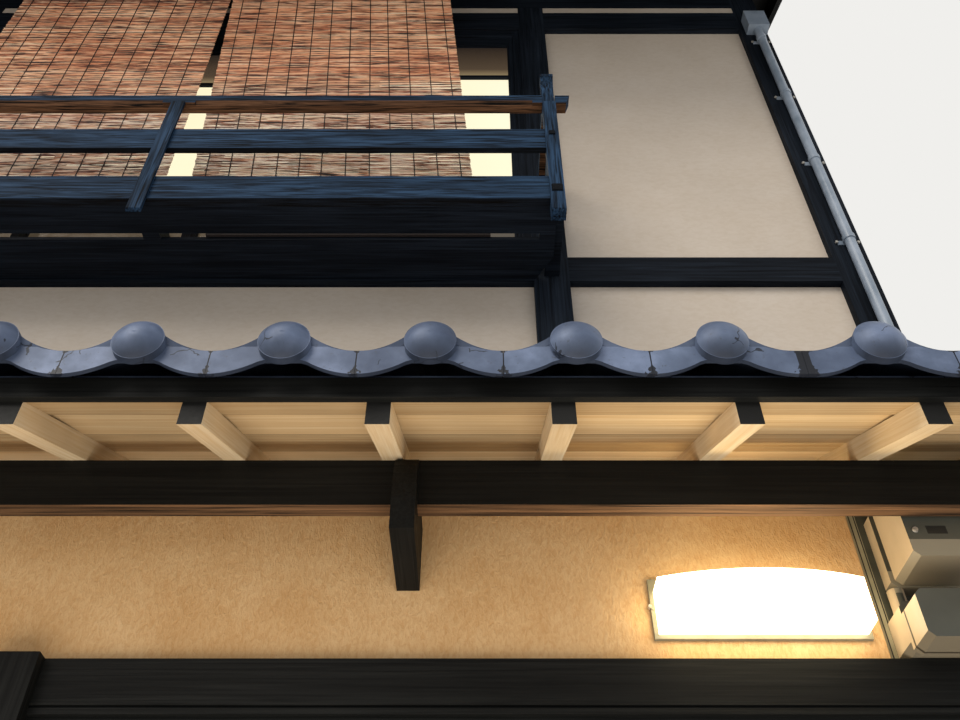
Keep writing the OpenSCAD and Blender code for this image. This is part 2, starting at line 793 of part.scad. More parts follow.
// Blind as a leaning sheet: x0 and x1 are its edges at the reference height
module blind(x0, x1, lean, d, bottom) {
    top = plate_top - roof_pitch * d;
    function shift(z) = (blind_ref_z - z) * lean;
    along(d - blind_t, d, [[x0 + shift(bottom), bottom], [x1 + shift(bottom), bottom],
        [x1 + shift(top), top], [x0 + shift(top), top]]);
}

module left_blind() color("#9a5f43") blind(-876, -58, 0.0216, 145, 3700);
module right_blind() color("#9a5f43") blind(-46, 811, 0.078, 152, deck_top + 3);

// Conduit on the right-hand corner post

conduit_r = 16;
conduit_x = half_w - 45;
conduit_out = 20;
conduit_top = 5080;
conduit_foot = wall_tile_z + 2 * tile_t;
saddle_z = 3733;
saddle_step = 423;
saddle_h = 18;
saddle_ear = 14;
strap_t = 3;
junction_w = 84;
junction_d = 46;
junction_h = 118;

module conduit() color("#6f7a86")
    translate([conduit_x, out(conduit_out), conduit_foot])
        cylinder(h = conduit_top - conduit_foot, r = conduit_r, $fn = 48);

// Saddles that hold the conduit to the post, and the junction box at its upper end
module conduit_fittings() color("#6f7a86") {
    for (i = [0:3])
        translate([conduit_x, 0, saddle_z + i * saddle_step]) difference() {
            union() {
                translate([0, out(conduit_out), 0]) cylinder(h = saddle_h, r = conduit_r + strap_t, $fn = 48);
                box([-conduit_r - saddle_ear, out(strap_t), 0], [conduit_r + saddle_ear, out(0), saddle_h]);
            }
            translate([0, out(conduit_out), -1]) cylinder(h = saddle_h + 2, r = conduit_r, $fn = 48);
            box([-2 * saddle_ear - conduit_r, out(0), -1],
                [2 * saddle_ear + conduit_r, out(-conduit_r), saddle_h + 1]);
        }
    box([conduit_x - junction_w / 2, out(junction_d), conduit_top],
        [conduit_x + junction_w / 2, out(0), conduit_top + junction_h]);
}

// Party walls and rear

ridge_z = plate_top + half_d * roof_pitch;

module party_walls() color("#5d564c") both_sides()
    translate([inner_x, 0, 0]) rotate([90, 0, 90]) linear_extrude(post_w) {
        y = half_d - post_w;
        z = plate_top + post_w * roof_pitch;
        polygon([[-y, base_h], [-y, z], [0, ridge_z], [y, z], [y, base_h]]);
    }

rear_door_w = 900;
rear_door_h = 2100;
rear_window_w = 1600;
rear_window_h = 900;
rear_window_z = 900;
rear_x0 = -1500;
rear_x1 = 300;

module rear_wall() color(plaster_cream) mirror([0, 1, 0]) {
    d0 = -panel_recess;
    d1 = -panel_recess - panel_t;
    difference() {
        box([-inner_x, out(d0), base_h], [inner_x, out(d1), floor_beam_z]);
        box([rear_x1, out(1), ground_z], [rear_x1 + rear_door_w, out(-post_w), rear_door_h]);
        box([rear_x0, out(1), rear_window_z],
            [rear_x0 + rear_window_w, out(-post_w), rear_window_z + rear_window_h]);
    }
    between_posts(ledger_top, mid_beam_z, d0, d1);
    between_posts(top_beam_top, plate_z, d0, d1);
    both_sides() box([end_span[0], out(d0), mid_beam_z], [end_span[1], out(d1), top_beam_z]);
    box([mid_span[0], out(d0), mid_beam_z], [mid_span[1], out(d1), mid_beam_z + 500]);
}

rear_d = -panel_recess - 8;
rear_frame_t = 36;
rear_frame_w = 45;
rear_units = [
    [rear_x1, rear_x1 + rear_door_w, ground_z, rear_door_h],
    [rear_x0, rear_x0 + rear_window_w, rear_window_z, rear_window_z + rear_window_h],
    [mid_span[0], mid_span[1], mid_beam_z + 500, top_beam_z]];

module rear_windows() color("#4a3524") mirror([0, 1, 0])
    for (u = rear_units) difference() {
        box([u[0], out(rear_d), u[2]], [u[1], out(rear_d - rear_frame_t), u[3]]);
        for (p = rear_panes(u))
            box([p[0], out(rear_d + 1), p[2]], [p[1], out(rear_d - rear_frame_t - 1), p[3]]);
    }

// Two panes beside each other in a rear unit, as [x0, x1, z0, z1]
function rear_panes(u) = let (m = (u[0] + u[1]) / 2, f = rear_frame_w) [
    [u[0] + f, m - f / 2, u[2] + f, u[3] - f], [m + f / 2, u[1] - f, u[2] + f, u[3] - f]];

module rear_glass() color([0.6, 0.7, 0.7, 0.5]) mirror([0, 1, 0])
    for (u = rear_units, p = rear_panes(u))
        box([p[0], out(rear_d - 15), p[2]], [p[1], out(rear_d - 15 - glass_t), p[3]]);

// Main roof

main_half = half_w + main_verge;
board_h = 16;
main_bed_h = 40;
main_rafter_step = 455;
ridge_gap = 1;

// Slab on each slope of the main roof, z over the line of the plate tops, h plumb height
module roof_slab(x0, x1, z, h, reach) front_and_rear() {
    low = plate_top + z;
    top = plate_top + (half_d - ridge_gap) * roof_pitch + z;
    across(x0, x1, [[reach, low - reach * roof_pitch], [reach, low - reach * roof_pitch + h],
        [ridge_gap - half_d, top + h], [ridge_gap - half_d, top]]);
}

main_count = floor(2 * (main_half - main_rafter_w) / main_rafter_step) + 1;
main_left = -main_rafter_step * (main_count - 1) / 2;

module roof_rafters() color(timber_dark)
    for (i = [0:main_count - 1]) {
        x = main_left + i * main_rafter_step;
        roof_slab(x - main_rafter_w / 2, x + main_rafter_w / 2, 0, main_rafter_h, main_eave);
    }

barge_t = 22;
barge_h = 90;
main_board_out = main_eave + 15;

// Boards on the rafters, with a fascia over the rafter ends and a bargeboard along each verge
module roof_boards() color(timber_dark) {
    roof_slab(-main_half, main_half, main_rafter_h, board_h, main_board_out);
    front_and_rear() across(-main_half, main_half, [
        for (p = [[main_board_out, -barge_t], [main_board_out, main_rafter_h], [main_eave, main_rafter_h],
            [main_eave, -barge_t]]) [p[0], plate_top - p[0] * roof_pitch + p[1]]]);
    both_sides() roof_slab(main_half - barge_t, main_half, main_rafter_h - barge_h, barge_h, main_eave);
}

main_tile_end = main_half + tile_over;
main_eave_out = main_eave + 50 + dome_rim + dome_h;
main_bed_z = main_rafter_h + board_h;
ridge_base = 70;

module roof_tiles() color(tile_grey) {
    roof_slab(-main_half, main_half, main_bed_z, main_bed_h, main_board_out);
    front_and_rear() tile_course(-main_tile_end, main_tile_end, main_eave_out,
        plate_top + main_bed_z + main_bed_h - main_eave_out * roof_pitch,
        half_d + main_eave_out - ridge_base, roof_pitch);
}

ridge_foot = 35;
ridge_foot_h = 60;
ridge_w = 230;
ridge_step = 12;
ridge_course = 40;
ridge_courses = 3;
ridge_r = 75;
ridge_end_t = 40;
ridge_end_w = 300;
ridge_end_drop = 30;

// Ridge: flat courses that narrow upwards under a round cap, and a plain arched tile at each end
module ridge_tiles() color(tile_grey) {
    z = ridge_z + main_bed_z + main_bed_h;
    z1 = z + ridge_foot_h;
    z2 = z1 + ridge_courses * ridge_course;
    box([-main_half, -ridge_foot, z - 12], [main_half, ridge_foot, z1]);
    for (i = [0:ridge_courses - 1])
        box([-main_tile_end, -ridge_w / 2 + i * ridge_step, z1 + i * ridge_course],
            [main_tile_end, ridge_w / 2 - i * ridge_step, z1 + (i + 1) * ridge_course]);
    translate([-main_tile_end, 0, z2]) rotate([0, 90, 0])
        cylinder(h = 2 * main_tile_end, r = ridge_r, $fn = 48);
    both_sides() translate([main_tile_end - ridge_end_t, 0, 0]) {
        box([0, -ridge_end_w / 2, z1 - ridge_end_drop], [ridge_end_t, ridge_end_w / 2, z2 - ridge_course]);
        translate([0, 0, z2 - ridge_course]) rotate([0, 90, 0])
            cylinder(h = ridge_end_t, r = ridge_end_w / 2, $fn = 96);
    }
}

foundation();
corner_posts();
ground_posts();
front_lintel();
lower_front_wall();
entrance_frame();
entrance_doors();
lattice_window();
ground_glass();
meter_board();
meter_boxes();
lamp_base();
lamp_diffuser();
floor_beams();
upper_floor();
bracket_arms();
eave_purlin();
pent_rafters();
pent_sheathing();
pent_fascia();
pent_roof_tiles();
pent_eave_tiles();
window_posts();
upper_beams();
upper_front_panels();
window_frame();
window_sashes();
window_glass();
balcony_floor();
balcony_posts();
balcony_bottom_rail();
balcony_middle_rail();
balcony_top_rail();
left_blind();
right_blind();
conduit();
conduit_fittings();
party_walls();
rear_wall();
rear_windows();
rear_glass();
roof_rafters();
roof_boards();
roof_tiles();
ridge_tiles();
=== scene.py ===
"""Machiya townhouse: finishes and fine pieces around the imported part, in metres, street front at -Y."""
import math

import bpy
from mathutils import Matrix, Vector


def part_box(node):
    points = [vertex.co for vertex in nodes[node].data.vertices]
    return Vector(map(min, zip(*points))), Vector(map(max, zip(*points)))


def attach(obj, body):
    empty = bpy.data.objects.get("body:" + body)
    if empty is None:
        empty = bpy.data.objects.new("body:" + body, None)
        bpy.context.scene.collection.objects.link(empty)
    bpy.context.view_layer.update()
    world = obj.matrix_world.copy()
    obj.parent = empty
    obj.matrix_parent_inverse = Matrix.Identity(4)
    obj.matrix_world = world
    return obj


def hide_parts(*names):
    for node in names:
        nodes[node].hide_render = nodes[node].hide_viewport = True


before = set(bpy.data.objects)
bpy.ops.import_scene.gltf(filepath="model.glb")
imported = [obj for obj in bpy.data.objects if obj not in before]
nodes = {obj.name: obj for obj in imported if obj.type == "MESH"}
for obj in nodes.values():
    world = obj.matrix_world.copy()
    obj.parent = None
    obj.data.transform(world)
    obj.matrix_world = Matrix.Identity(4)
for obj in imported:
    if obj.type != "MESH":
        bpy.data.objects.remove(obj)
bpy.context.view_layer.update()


# Stained timber frame: sawn cedar posts, beams, rails and purlin, brushed so that the hard late wood
# stands up as fine ridges, then stained brown-black and oiled. Members are tenoned and pegged.

X, Y, Z = 0, 1, 2
HALF_DEPTH = 3.6925
HALF_GAP = 0.0012
# the kinds of node that finishes use most
MATH, RANGE, RAMP, MIX = "ShaderNodeMath", "ShaderNodeMapRange", "ShaderNodeValToRGB", "ShaderNodeMix"
NOISE, AXES, VECTOR = "ShaderNodeTexNoise", "ShaderNodeSeparateXYZ", "ShaderNodeCombineXYZ"


def linear(hex_colour):
    """Linear colour of an sRGB hex value."""
    parts = [int(hex_colour[i:i + 2], 16) / 255 for i in (1, 3, 5)]
    return [p / 12.92 if p <= 0.04045 else ((p + 0.055) / 1.055) ** 2.4 for p in parts] + [1.0]


def add(tree, kind, inputs=(), give=0, stops=(), **settings):
    """Adds a node and gives one of its outputs, or with give=None the node itself.

    inputs, in order or by name, are sockets to follow, hex colours or other values to hold; a list of sockets
    joins them in one input. stops are the (place, hex colour) pairs of a colour ramp."""
    made = tree.nodes.new(kind)
    for name, value in settings.items():
        setattr(made, name, value)
    while stops and len(made.color_ramp.elements) < len(stops):
        made.color_ramp.elements.new(0.5)
    for i, (place, colour) in enumerate(stops):
        made.color_ramp.elements[i].position = place
        made.color_ramp.elements[i].color = linear(colour)
    for key, value in inputs.items() if isinstance(inputs, dict) else enumerate(inputs):
        sources = value if isinstance(value, list) else [value]
        if isinstance(sources[0], bpy.types.NodeSocket):
            for source in sources:
                tree.links.new(source, made.inputs[key])
        else:
            is_colour = isinstance(value, str) and value.startswith("#")
            made.inputs[key].default_value = linear(value) if is_colour else value
    return made if give is None else made.outputs[give]


def away(tree, value, centre):
    """How far a value lies from another."""
    off = add(tree, MATH, (value, centre), operation="SUBTRACT")
    return add(tree, MATH, (off,), operation="ABSOLUTE")


def between(tree, value, low, high):
    """1 where a value lies between two others, and 0 elsewhere."""
    over = add(tree, MATH, (value, low), operation="GREATER_THAN")
    under = add(tree, MATH, (value, high), operation="LESS_THAN")
    return add(tree, MATH, (over, under), operation="MULTIPLY")


def shaded(tree, colour, factor, *stops):
    """Colour darkened by a ramp of a factor."""
    shade = add(tree, RAMP, (factor,), stops=stops)
    return add(tree, MIX, {0: 1.0, 6: colour, 7: shade}, 2, data_type="RGBA", blend_type="MULTIPLY")


def facing(tree):
    """Axes of the direction in which the surface faces."""
    return add(tree, AXES, (add(tree, "ShaderNodeTexCoord", give="Normal"),), None).outputs


def new_finish(name, **sockets):
    """Material with one Principled shader; gives the material, its tree, the shader and the surface place."""
    material = bpy.data.materials.new(name)
    material.use_nodes = True
    tree = material.node_tree
    tree.nodes.clear()
    shader = add(tree, "ShaderNodeBsdfPrincipled",
                 {key.replace("_", " "): value for key, value in sockets.items()}, None)
    add(tree, "ShaderNodeOutputMaterial", {"Surface": shader.outputs["BSDF"]}, None)
    return material, tree, shader, add(tree, "ShaderNodeTexCoord", give="Object")


def surface(tree, shader, colour, rough=None, height=None, relief=0.001, strength=0.6):
    """Links what a finish has worked out to its shader; relief is the depth of its bumps."""
    normal = None
    if height is not None:
        normal = add(tree, "ShaderNodeBump", {"Height": height, "Strength": strength, "Distance": relief})
    for name, value in (("Base Color", colour), ("Roughness", rough), ("Normal", normal)):
        if value is not None:
            tree.links.new(value, shader.inputs[name])


def squeezed(tree, place, along, pitch, run):
    """Place with the direction of the grain drawn out 1 / run times; pitch leans the grain with a roof."""
    if pitch:
        x, y, z = add(tree, AXES, (place,), None).outputs
        y = add(tree, MATH, (y,), operation="ABSOLUTE")
        y = add(tree, MATH, (y, -1.0), operation="MULTIPLY")
        place = add(tree, VECTOR, (x, y, z))
        place = add(tree, "ShaderNodeMapping", {"Vector": place, "Rotation": (-pitch, 0.0, 0.0)})
    scale = [run if axis == along else 1.0 for axis in (X, Y, Z)]
    return add(tree, "ShaderNodeMapping", {"Vector": place, "Scale": scale})


def timber(name, along, pale, dark, ring, rough, relief, shine=0.4, soft=0.18, run=0.018, pitch=0.0,
           turned=(), across=Z, boards=None, ends=None, below=None):
    """Sawn timber whose grain runs along one axis; ring is the width of a year's growth in metres.

    shine is how much of a varnish's gloss the face keeps, soft how gently late wood turns to early wood,
    and run the width of a figure over its length. pitch leans the grain with a roof, turned lists
    (axis, low, high) where a joined leaf has rails or stiles whose grain runs across, boards gives the axis,
    width and first edge of boards laid side by side, ends colours sawn ends, and below colours the
    undersides: painted light where a lamp or window lights them, painted shade where they lie in shade."""
    material, tree, shader, place = new_finish(name, Specular_IOR_Level=shine)
    axes = add(tree, AXES, (place,), None).outputs
    grain = squeezed(tree, place, along, pitch, run)
    inside = 0.0
    for axis, low, high in turned:
        inside = add(tree, MATH, (inside, between(tree, axes[axis], low, high)), operation="MAXIMUM")
    if turned:
        grain = add(tree, MIX, {0: inside, 4: grain, 5: squeezed(tree, place, across, 0.0, run)}, 1,
                    data_type="VECTOR")
    # late wood: fine rings that come and go over a broader figure
    fine = add(tree, NOISE, {"Vector": grain, "Scale": 0.62 / ring, "Detail": 5.0, "Roughness": 0.62,
                             "Distortion": 0.6})
    broad = add(tree, NOISE, {"Vector": grain, "Scale": 0.12 / ring, "Detail": 3.0, "Roughness": 0.55,
                              "Distortion": 0.4})
    fine = add(tree, RANGE, (fine, 0.5 - soft, 0.5 + soft))
    broad = add(tree, RANGE, (broad, 0.25, 0.7, 0.35, 1.0))
    late = add(tree, MATH, (fine, broad), operation="MULTIPLY")
    colour = add(tree, RAMP, (late,), stops=((0.0, dark), (1.0, pale)))
    worn = add(tree, NOISE, {"Vector": place, "Scale": 1.9, "Detail": 3.0})
    colour = shaded(tree, colour, worn, (0.3, "#cfcfcf"), (0.72, "#ffffff"))
    if boards:
        axis, width, edge = boards
        count = add(tree, MATH, (axes[axis], edge), operation="SUBTRACT")
        count = add(tree, MATH, (count, width), operation="DIVIDE")
        board = add(tree, MATH, (count,), operation="FLOOR")
        each = add(tree, "ShaderNodeTexWhiteNoise", {"W": board}, "Value", noise_dimensions="1D")
        colour = shaded(tree, colour, each, (0.0, "#c4bdb2"), (0.5, "#efe8dc"), (1.0, "#ffffff"))
        part = add(tree, MATH, (count, 0.5), operation="ADD")
        part = add(tree, MATH, (part,), operation="FRACT")
        gap = add(tree, MATH, (away(tree, part, 0.5), HALF_GAP / width), operation="LESS_THAN")
        gap = add(tree, MATH, (gap, 0.75), operation="MULTIPLY")
        colour = add(tree, MIX, {0: gap, 6: colour, 7: "#1a1512"}, 2, data_type="RGBA")
    if ends:
        sawn = add(tree, MATH, (facing(tree)[along], -0.95), operation="LESS_THAN")
        colour = add(tree, MIX, {0: sawn, 6: colour, 7: ends}, 2, data_type="RGBA")
    # below: painted light or shade on the undersides, brown where a lamp or window lights them, dark where
    # they lie in shade
    if below:
        painted_underside = add(tree, MIX, {0: late, 6: "#0d0c0b", 7: below}, 2, data_type="RGBA")
        under = add(tree, MATH, (facing(tree)[Z], -0.7), operation="LESS_THAN")
        colour = add(tree, MIX, {0: under, 6: colour, 7: painted_underside}, 2, data_type="RGBA")
    gloss = add(tree, RANGE, (late, 0.0, 1.0, rough + 0.1, rough - 0.06))
    surface(tree, shader, colour, gloss, late, relief)
    return material


def cover(material, *names):
    """Gives CAD nodes a finish."""
    for name in names:
        for slot in nodes[name].material_slots:
            slot.material = material


def out(d):
    """Place along Y of a distance out from the upper storey's posts."""
    return -HALF_DEPTH - d


STAINED = dict(pale="#1f201f", dark="#0c0d0d", ring=0.0045, rough=0.52, relief=0.0005, shine=0.08)
# painted sky light: the upper storey's stain is drawn paler and bluer than it is, the rails bluest
STAIN_WITH_PAINTED_SKY = dict(pale="#262e39", dark="#0c0f14", ring=0.0055, rough=0.58, relief=0.0008, shine=0.05,
                 run=0.03)
RAIL = dict(STAIN_WITH_PAINTED_SKY, pale="#34506f", dark="#0b1119", ring=0.0042, soft=0.12, run=0.04, relief=0.0014)
for finish, covered in (
        (timber("stained cedar, grain upright", Z, **STAINED), ["ground_posts"]),
        (timber("stained cedar, grain outwards", Y, **STAINED), ["bracket_arms"]),
        (timber("stained cedar, grain across", X, **STAINED), ["front_lintel", "floor_beams", "pent_fascia"]),
        # the purlin's underside: partly its unstained brown wood, partly painted lamp light
        (timber("stained purlin, brown below", X, below="#7d5d42", **STAINED), ["eave_purlin"]),
        (timber("weathered stained cedar, grain upright", Z, **STAIN_WITH_PAINTED_SKY), ["corner_posts", "window_posts"]),
        (timber("weathered stained cedar, grain across", X, **STAIN_WITH_PAINTED_SKY), ["upper_beams", "balcony_floor"]),
        # the rails' undersides: painted shade
        (timber("weathered rail", X, below="#1d242e", **RAIL),
         ["balcony_middle_rail", "balcony_bottom_rail"]),
        # the handrail's underside: partly its brown wood, partly painted window light
        (timber("weathered handrail, brown below", X, below="#7a573f", **RAIL), ["balcony_top_rail"]),
        (timber("weathered rail post", Z, **RAIL), ["balcony_posts"])):
    cover(finish, *covered)


# Stone base: dressed granite blocks laid end to end, grey with black and white crystals of a few
# millimetres, with mortar joints, round a tamped earth floor.

CRYSTAL = 0.006
BLOCK = 0.75
HALF_MORTAR = 0.003

granite, tree, shader, place = new_finish("dressed granite", Roughness=0.72)
crystals = add(tree, "ShaderNodeTexVoronoi", {"Vector": place, "Scale": 1 / CRYSTAL}, None).outputs
crystal_tone = add(tree, "ShaderNodeSeparateColor", (crystals["Color"],))
colour = add(tree, RAMP, (crystal_tone,),
             stops=((0.0, "#55534f"), (0.35, "#8f8c86"), (0.8, "#b5b2ab"), (1.0, "#dddad3")))
damp = add(tree, NOISE, {"Vector": place, "Scale": 1.7, "Detail": 4.0})
colour = shaded(tree, colour, damp, (0.35, "#a8a49c"), (0.65, "#ffffff"))
axes = add(tree, AXES, (place,), None).outputs
for axis in (X, Y):
    part = add(tree, MATH, (axes[axis], BLOCK), operation="DIVIDE")
    part = add(tree, MATH, (part,), operation="FRACT")
    joint = add(tree, MATH, (away(tree, part, 0.5), HALF_MORTAR / BLOCK), operation="LESS_THAN")
    colour = add(tree, MIX, {0: joint, 6: colour, 7: "#4b4844"}, 2, data_type="RGBA")
surface(tree, shader, colour, None, crystals["Distance"], 0.001, 0.3)
cover(granite, "foundation")


# Joined leaves: the window frame and sashes, the street lattice and the entrance frame are stained like
# the posts; the doors and the floor are planed cedar oiled a warm brown. Rails and stiles are mortised.

OILED = dict(pale="#80603f", dark="#4a3122", ring=0.004, rough=0.42, relief=0.0004)
FRAME_EDGE = 0.026
STILE = 0.03
STILE_PLACES = (-0.003, 0.985, 1.033, 1.06, 2.092)
LATTICE_HEAD = 0.06

low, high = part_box("window_frame")
cover(timber("stained cedar, window frame", X, turned=((X, low.x, low.x + FRAME_EDGE),
                                                       (X, high.x - FRAME_EDGE, high.x)), **STAIN_WITH_PAINTED_SKY),
      "window_frame")
low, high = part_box("window_sashes")
stiles = [(X, low.x + edge, low.x + edge + STILE) for edge in STILE_PLACES]
cover(timber("stained cedar, sashes", X, turned=stiles, **STAIN_WITH_PAINTED_SKY), "window_sashes")
# heights of the rails: panel, ties and head of the lattice, then sill and head of the entrance and its doors
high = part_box("lattice_window")[1]
for name, node, finish, rails in (
        ("stained cedar, lattice", "lattice_window", STAINED,
         ((0.0, 0.62), (1.1, 1.14), (1.64, 1.68), (high.z - LATTICE_HEAD, high.z))),
        ("stained cedar, entrance frame", "entrance_frame", STAINED, ((0.0, 0.15), (2.197, 2.3))),
        ("oiled cedar, doors", "entrance_doors", OILED, ((0.0, 0.531), (2.15, 2.2)))):
    cover(timber(name, Z, across=X, turned=[(Z, *rail) for rail in rails], **finish), node)
cover(timber("oiled cedar, rear joinery", Z, **OILED), "rear_windows")
cover(timber("oiled cedar boards, floor", X, boards=(Y, 0.12, 0.0), **OILED), "upper_floor")


# Plaster: upper panels are steel-troweled lime plaster, greyish cream and nearly smooth; the lower wall
# is ochre earth plaster with sand, drawn with a wooden float into short upright scratches.

BAND_FOOT, BAND_TOP = 5.2735, 5.3185
BAND_FRONT, BAND_BACK = out(-0.002), out(-0.06)
BAND_ENDS = ((-1.9895, -1.1905), (-1.0845, 1.0845), (1.1905, 1.9895))


def plaster(name, colour, shade, grit, drawn, relief, mottle):
    """Troweled plaster; grit is the sand's size and drawn the scale that lengthens the float marks."""
    material, tree, shader, place = new_finish(name, Roughness=0.9)
    stretch = add(tree, "ShaderNodeMapping", {"Vector": place, "Scale": drawn})
    sand = add(tree, NOISE, {"Vector": place, "Scale": 0.6 / grit, "Detail": 3.0, "Roughness": 0.7})
    marks = add(tree, NOISE, {"Vector": stretch, "Scale": 0.5 / grit, "Detail": 2.0, "Distortion": 0.8})
    cloud = add(tree, NOISE, {"Vector": place, "Scale": 2.3, "Detail": 4.0, "Roughness": 0.55})
    passes = add(tree, NOISE, {"Vector": place, "Scale": 6.0, "Detail": 4.0, "Roughness": 0.6})
    tint = add(tree, RAMP, (cloud,), stops=((0.3, shade), (0.7, colour)))
    tint = shaded(tree, tint, passes, (0.3, mottle), (0.7, "#ffffff"))
    tint = shaded(tree, tint, marks, (0.3, mottle), (0.62, "#ffffff"))
    sand = add(tree, MATH, (sand, 0.35), operation="MULTIPLY")
    surface(tree, shader, tint, None, add(tree, MATH, (sand, marks), operation="ADD"), relief)
    return material


lime = plaster("troweled lime plaster", "#c8bcae", "#c0b4a6", 0.006, (0.5, 0.5, 1.0), 0.0004, "#f9f7f4")
cover(lime, "upper_front_panels", "rear_wall")
# The float marks of about 1 mm are drawn at 3 mm, since finer ones would not show.
cover(plaster("floated earth plaster", "#d2b184", "#caa779", 0.0028, (1.0, 1.0, 0.4), 0.0032, "#f1e8da"),
      "lower_front_wall")

# bands of the lime plaster over the head beams, brought out nearly to their face
points, faces = [], []
for left, right in BAND_ENDS:
    first = len(points)
    points += [(x, y, z) for z in (BAND_FOOT, BAND_TOP) for y in (BAND_FRONT, BAND_BACK)
               for x in (left, right)]
    faces += [[first + i for i in face] for face in ((0, 2, 3, 1), (4, 5, 7, 6), (0, 1, 5, 4), (1, 3, 7, 5),
                                                     (3, 2, 6, 7), (2, 0, 4, 6))]
shape = bpy.data.meshes.new("head_bands")
shape.from_pydata(points, [], faces)
shape.materials.append(lime)
head_bands = bpy.data.objects.new("head_bands", shape)
bpy.context.scene.collection.objects.link(head_bands)
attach(head_bands, "root")


# Pent roof timber: planed cedar rafters with blackened ends under the tiles, and boards across them,
# left in their natural colour and nailed from above.

PITCH = 0.5
LEAN = math.atan(PITCH)
SECOND_BOARD_Y = -4.1525
cover(timber("planed cedar rafter", Y, "#f0dfc0", "#dabd92", 0.0035, 0.5, 0.0002, shine=0.2, pitch=LEAN,
             ends="#111110"), "pent_rafters")
cover(timber("planed cedar boards", X, "#f2dfbc", "#d4b488", 0.006, 0.5, 0.0002,
             boards=(Y, 0.15, SECOND_BOARD_Y)), "pent_sheathing")


# Roof tiles: clay fired in smoke, which leaves a silver-grey carbon skin, uneven from tile to tile, with
# dark runs at the joints and hairline cracks in the skin of the domed ends.

TILE_STEP = 0.264
TILE_SHIFT = 0.044
ODD_X = TILE_SHIFT + 5.5 * TILE_STEP
ODD_WIDTH = 0.021
SHADE_ROW = 0.21
APRON_LOW, APRON_HIGH = 2.627, 2.684
# how high the dark runs reach at the foot and the brow of the apron, and half their widths
FOOT_HEIGHT, BROW_HEIGHT = 0.022, 0.006
FOOT_RUN, BROW_RUN, JOINT_RUN = 0.016, 0.011, 0.0012


def roll_count(tree, x):
    """Which roll a place belongs to: whole on the rolls, a half in the middle of each hollow."""
    odd = add(tree, MATH, (x, ODD_X), operation="SUBTRACT")
    odd = add(tree, MATH, (odd, 0.0), operation="MAXIMUM")
    odd = add(tree, MATH, (odd, ODD_WIDTH), operation="MINIMUM")
    even = add(tree, MATH, (x, odd), operation="SUBTRACT")
    even = add(tree, MATH, (even, TILE_SHIFT), operation="SUBTRACT")
    return add(tree, MATH, (even, TILE_STEP), operation="DIVIDE")


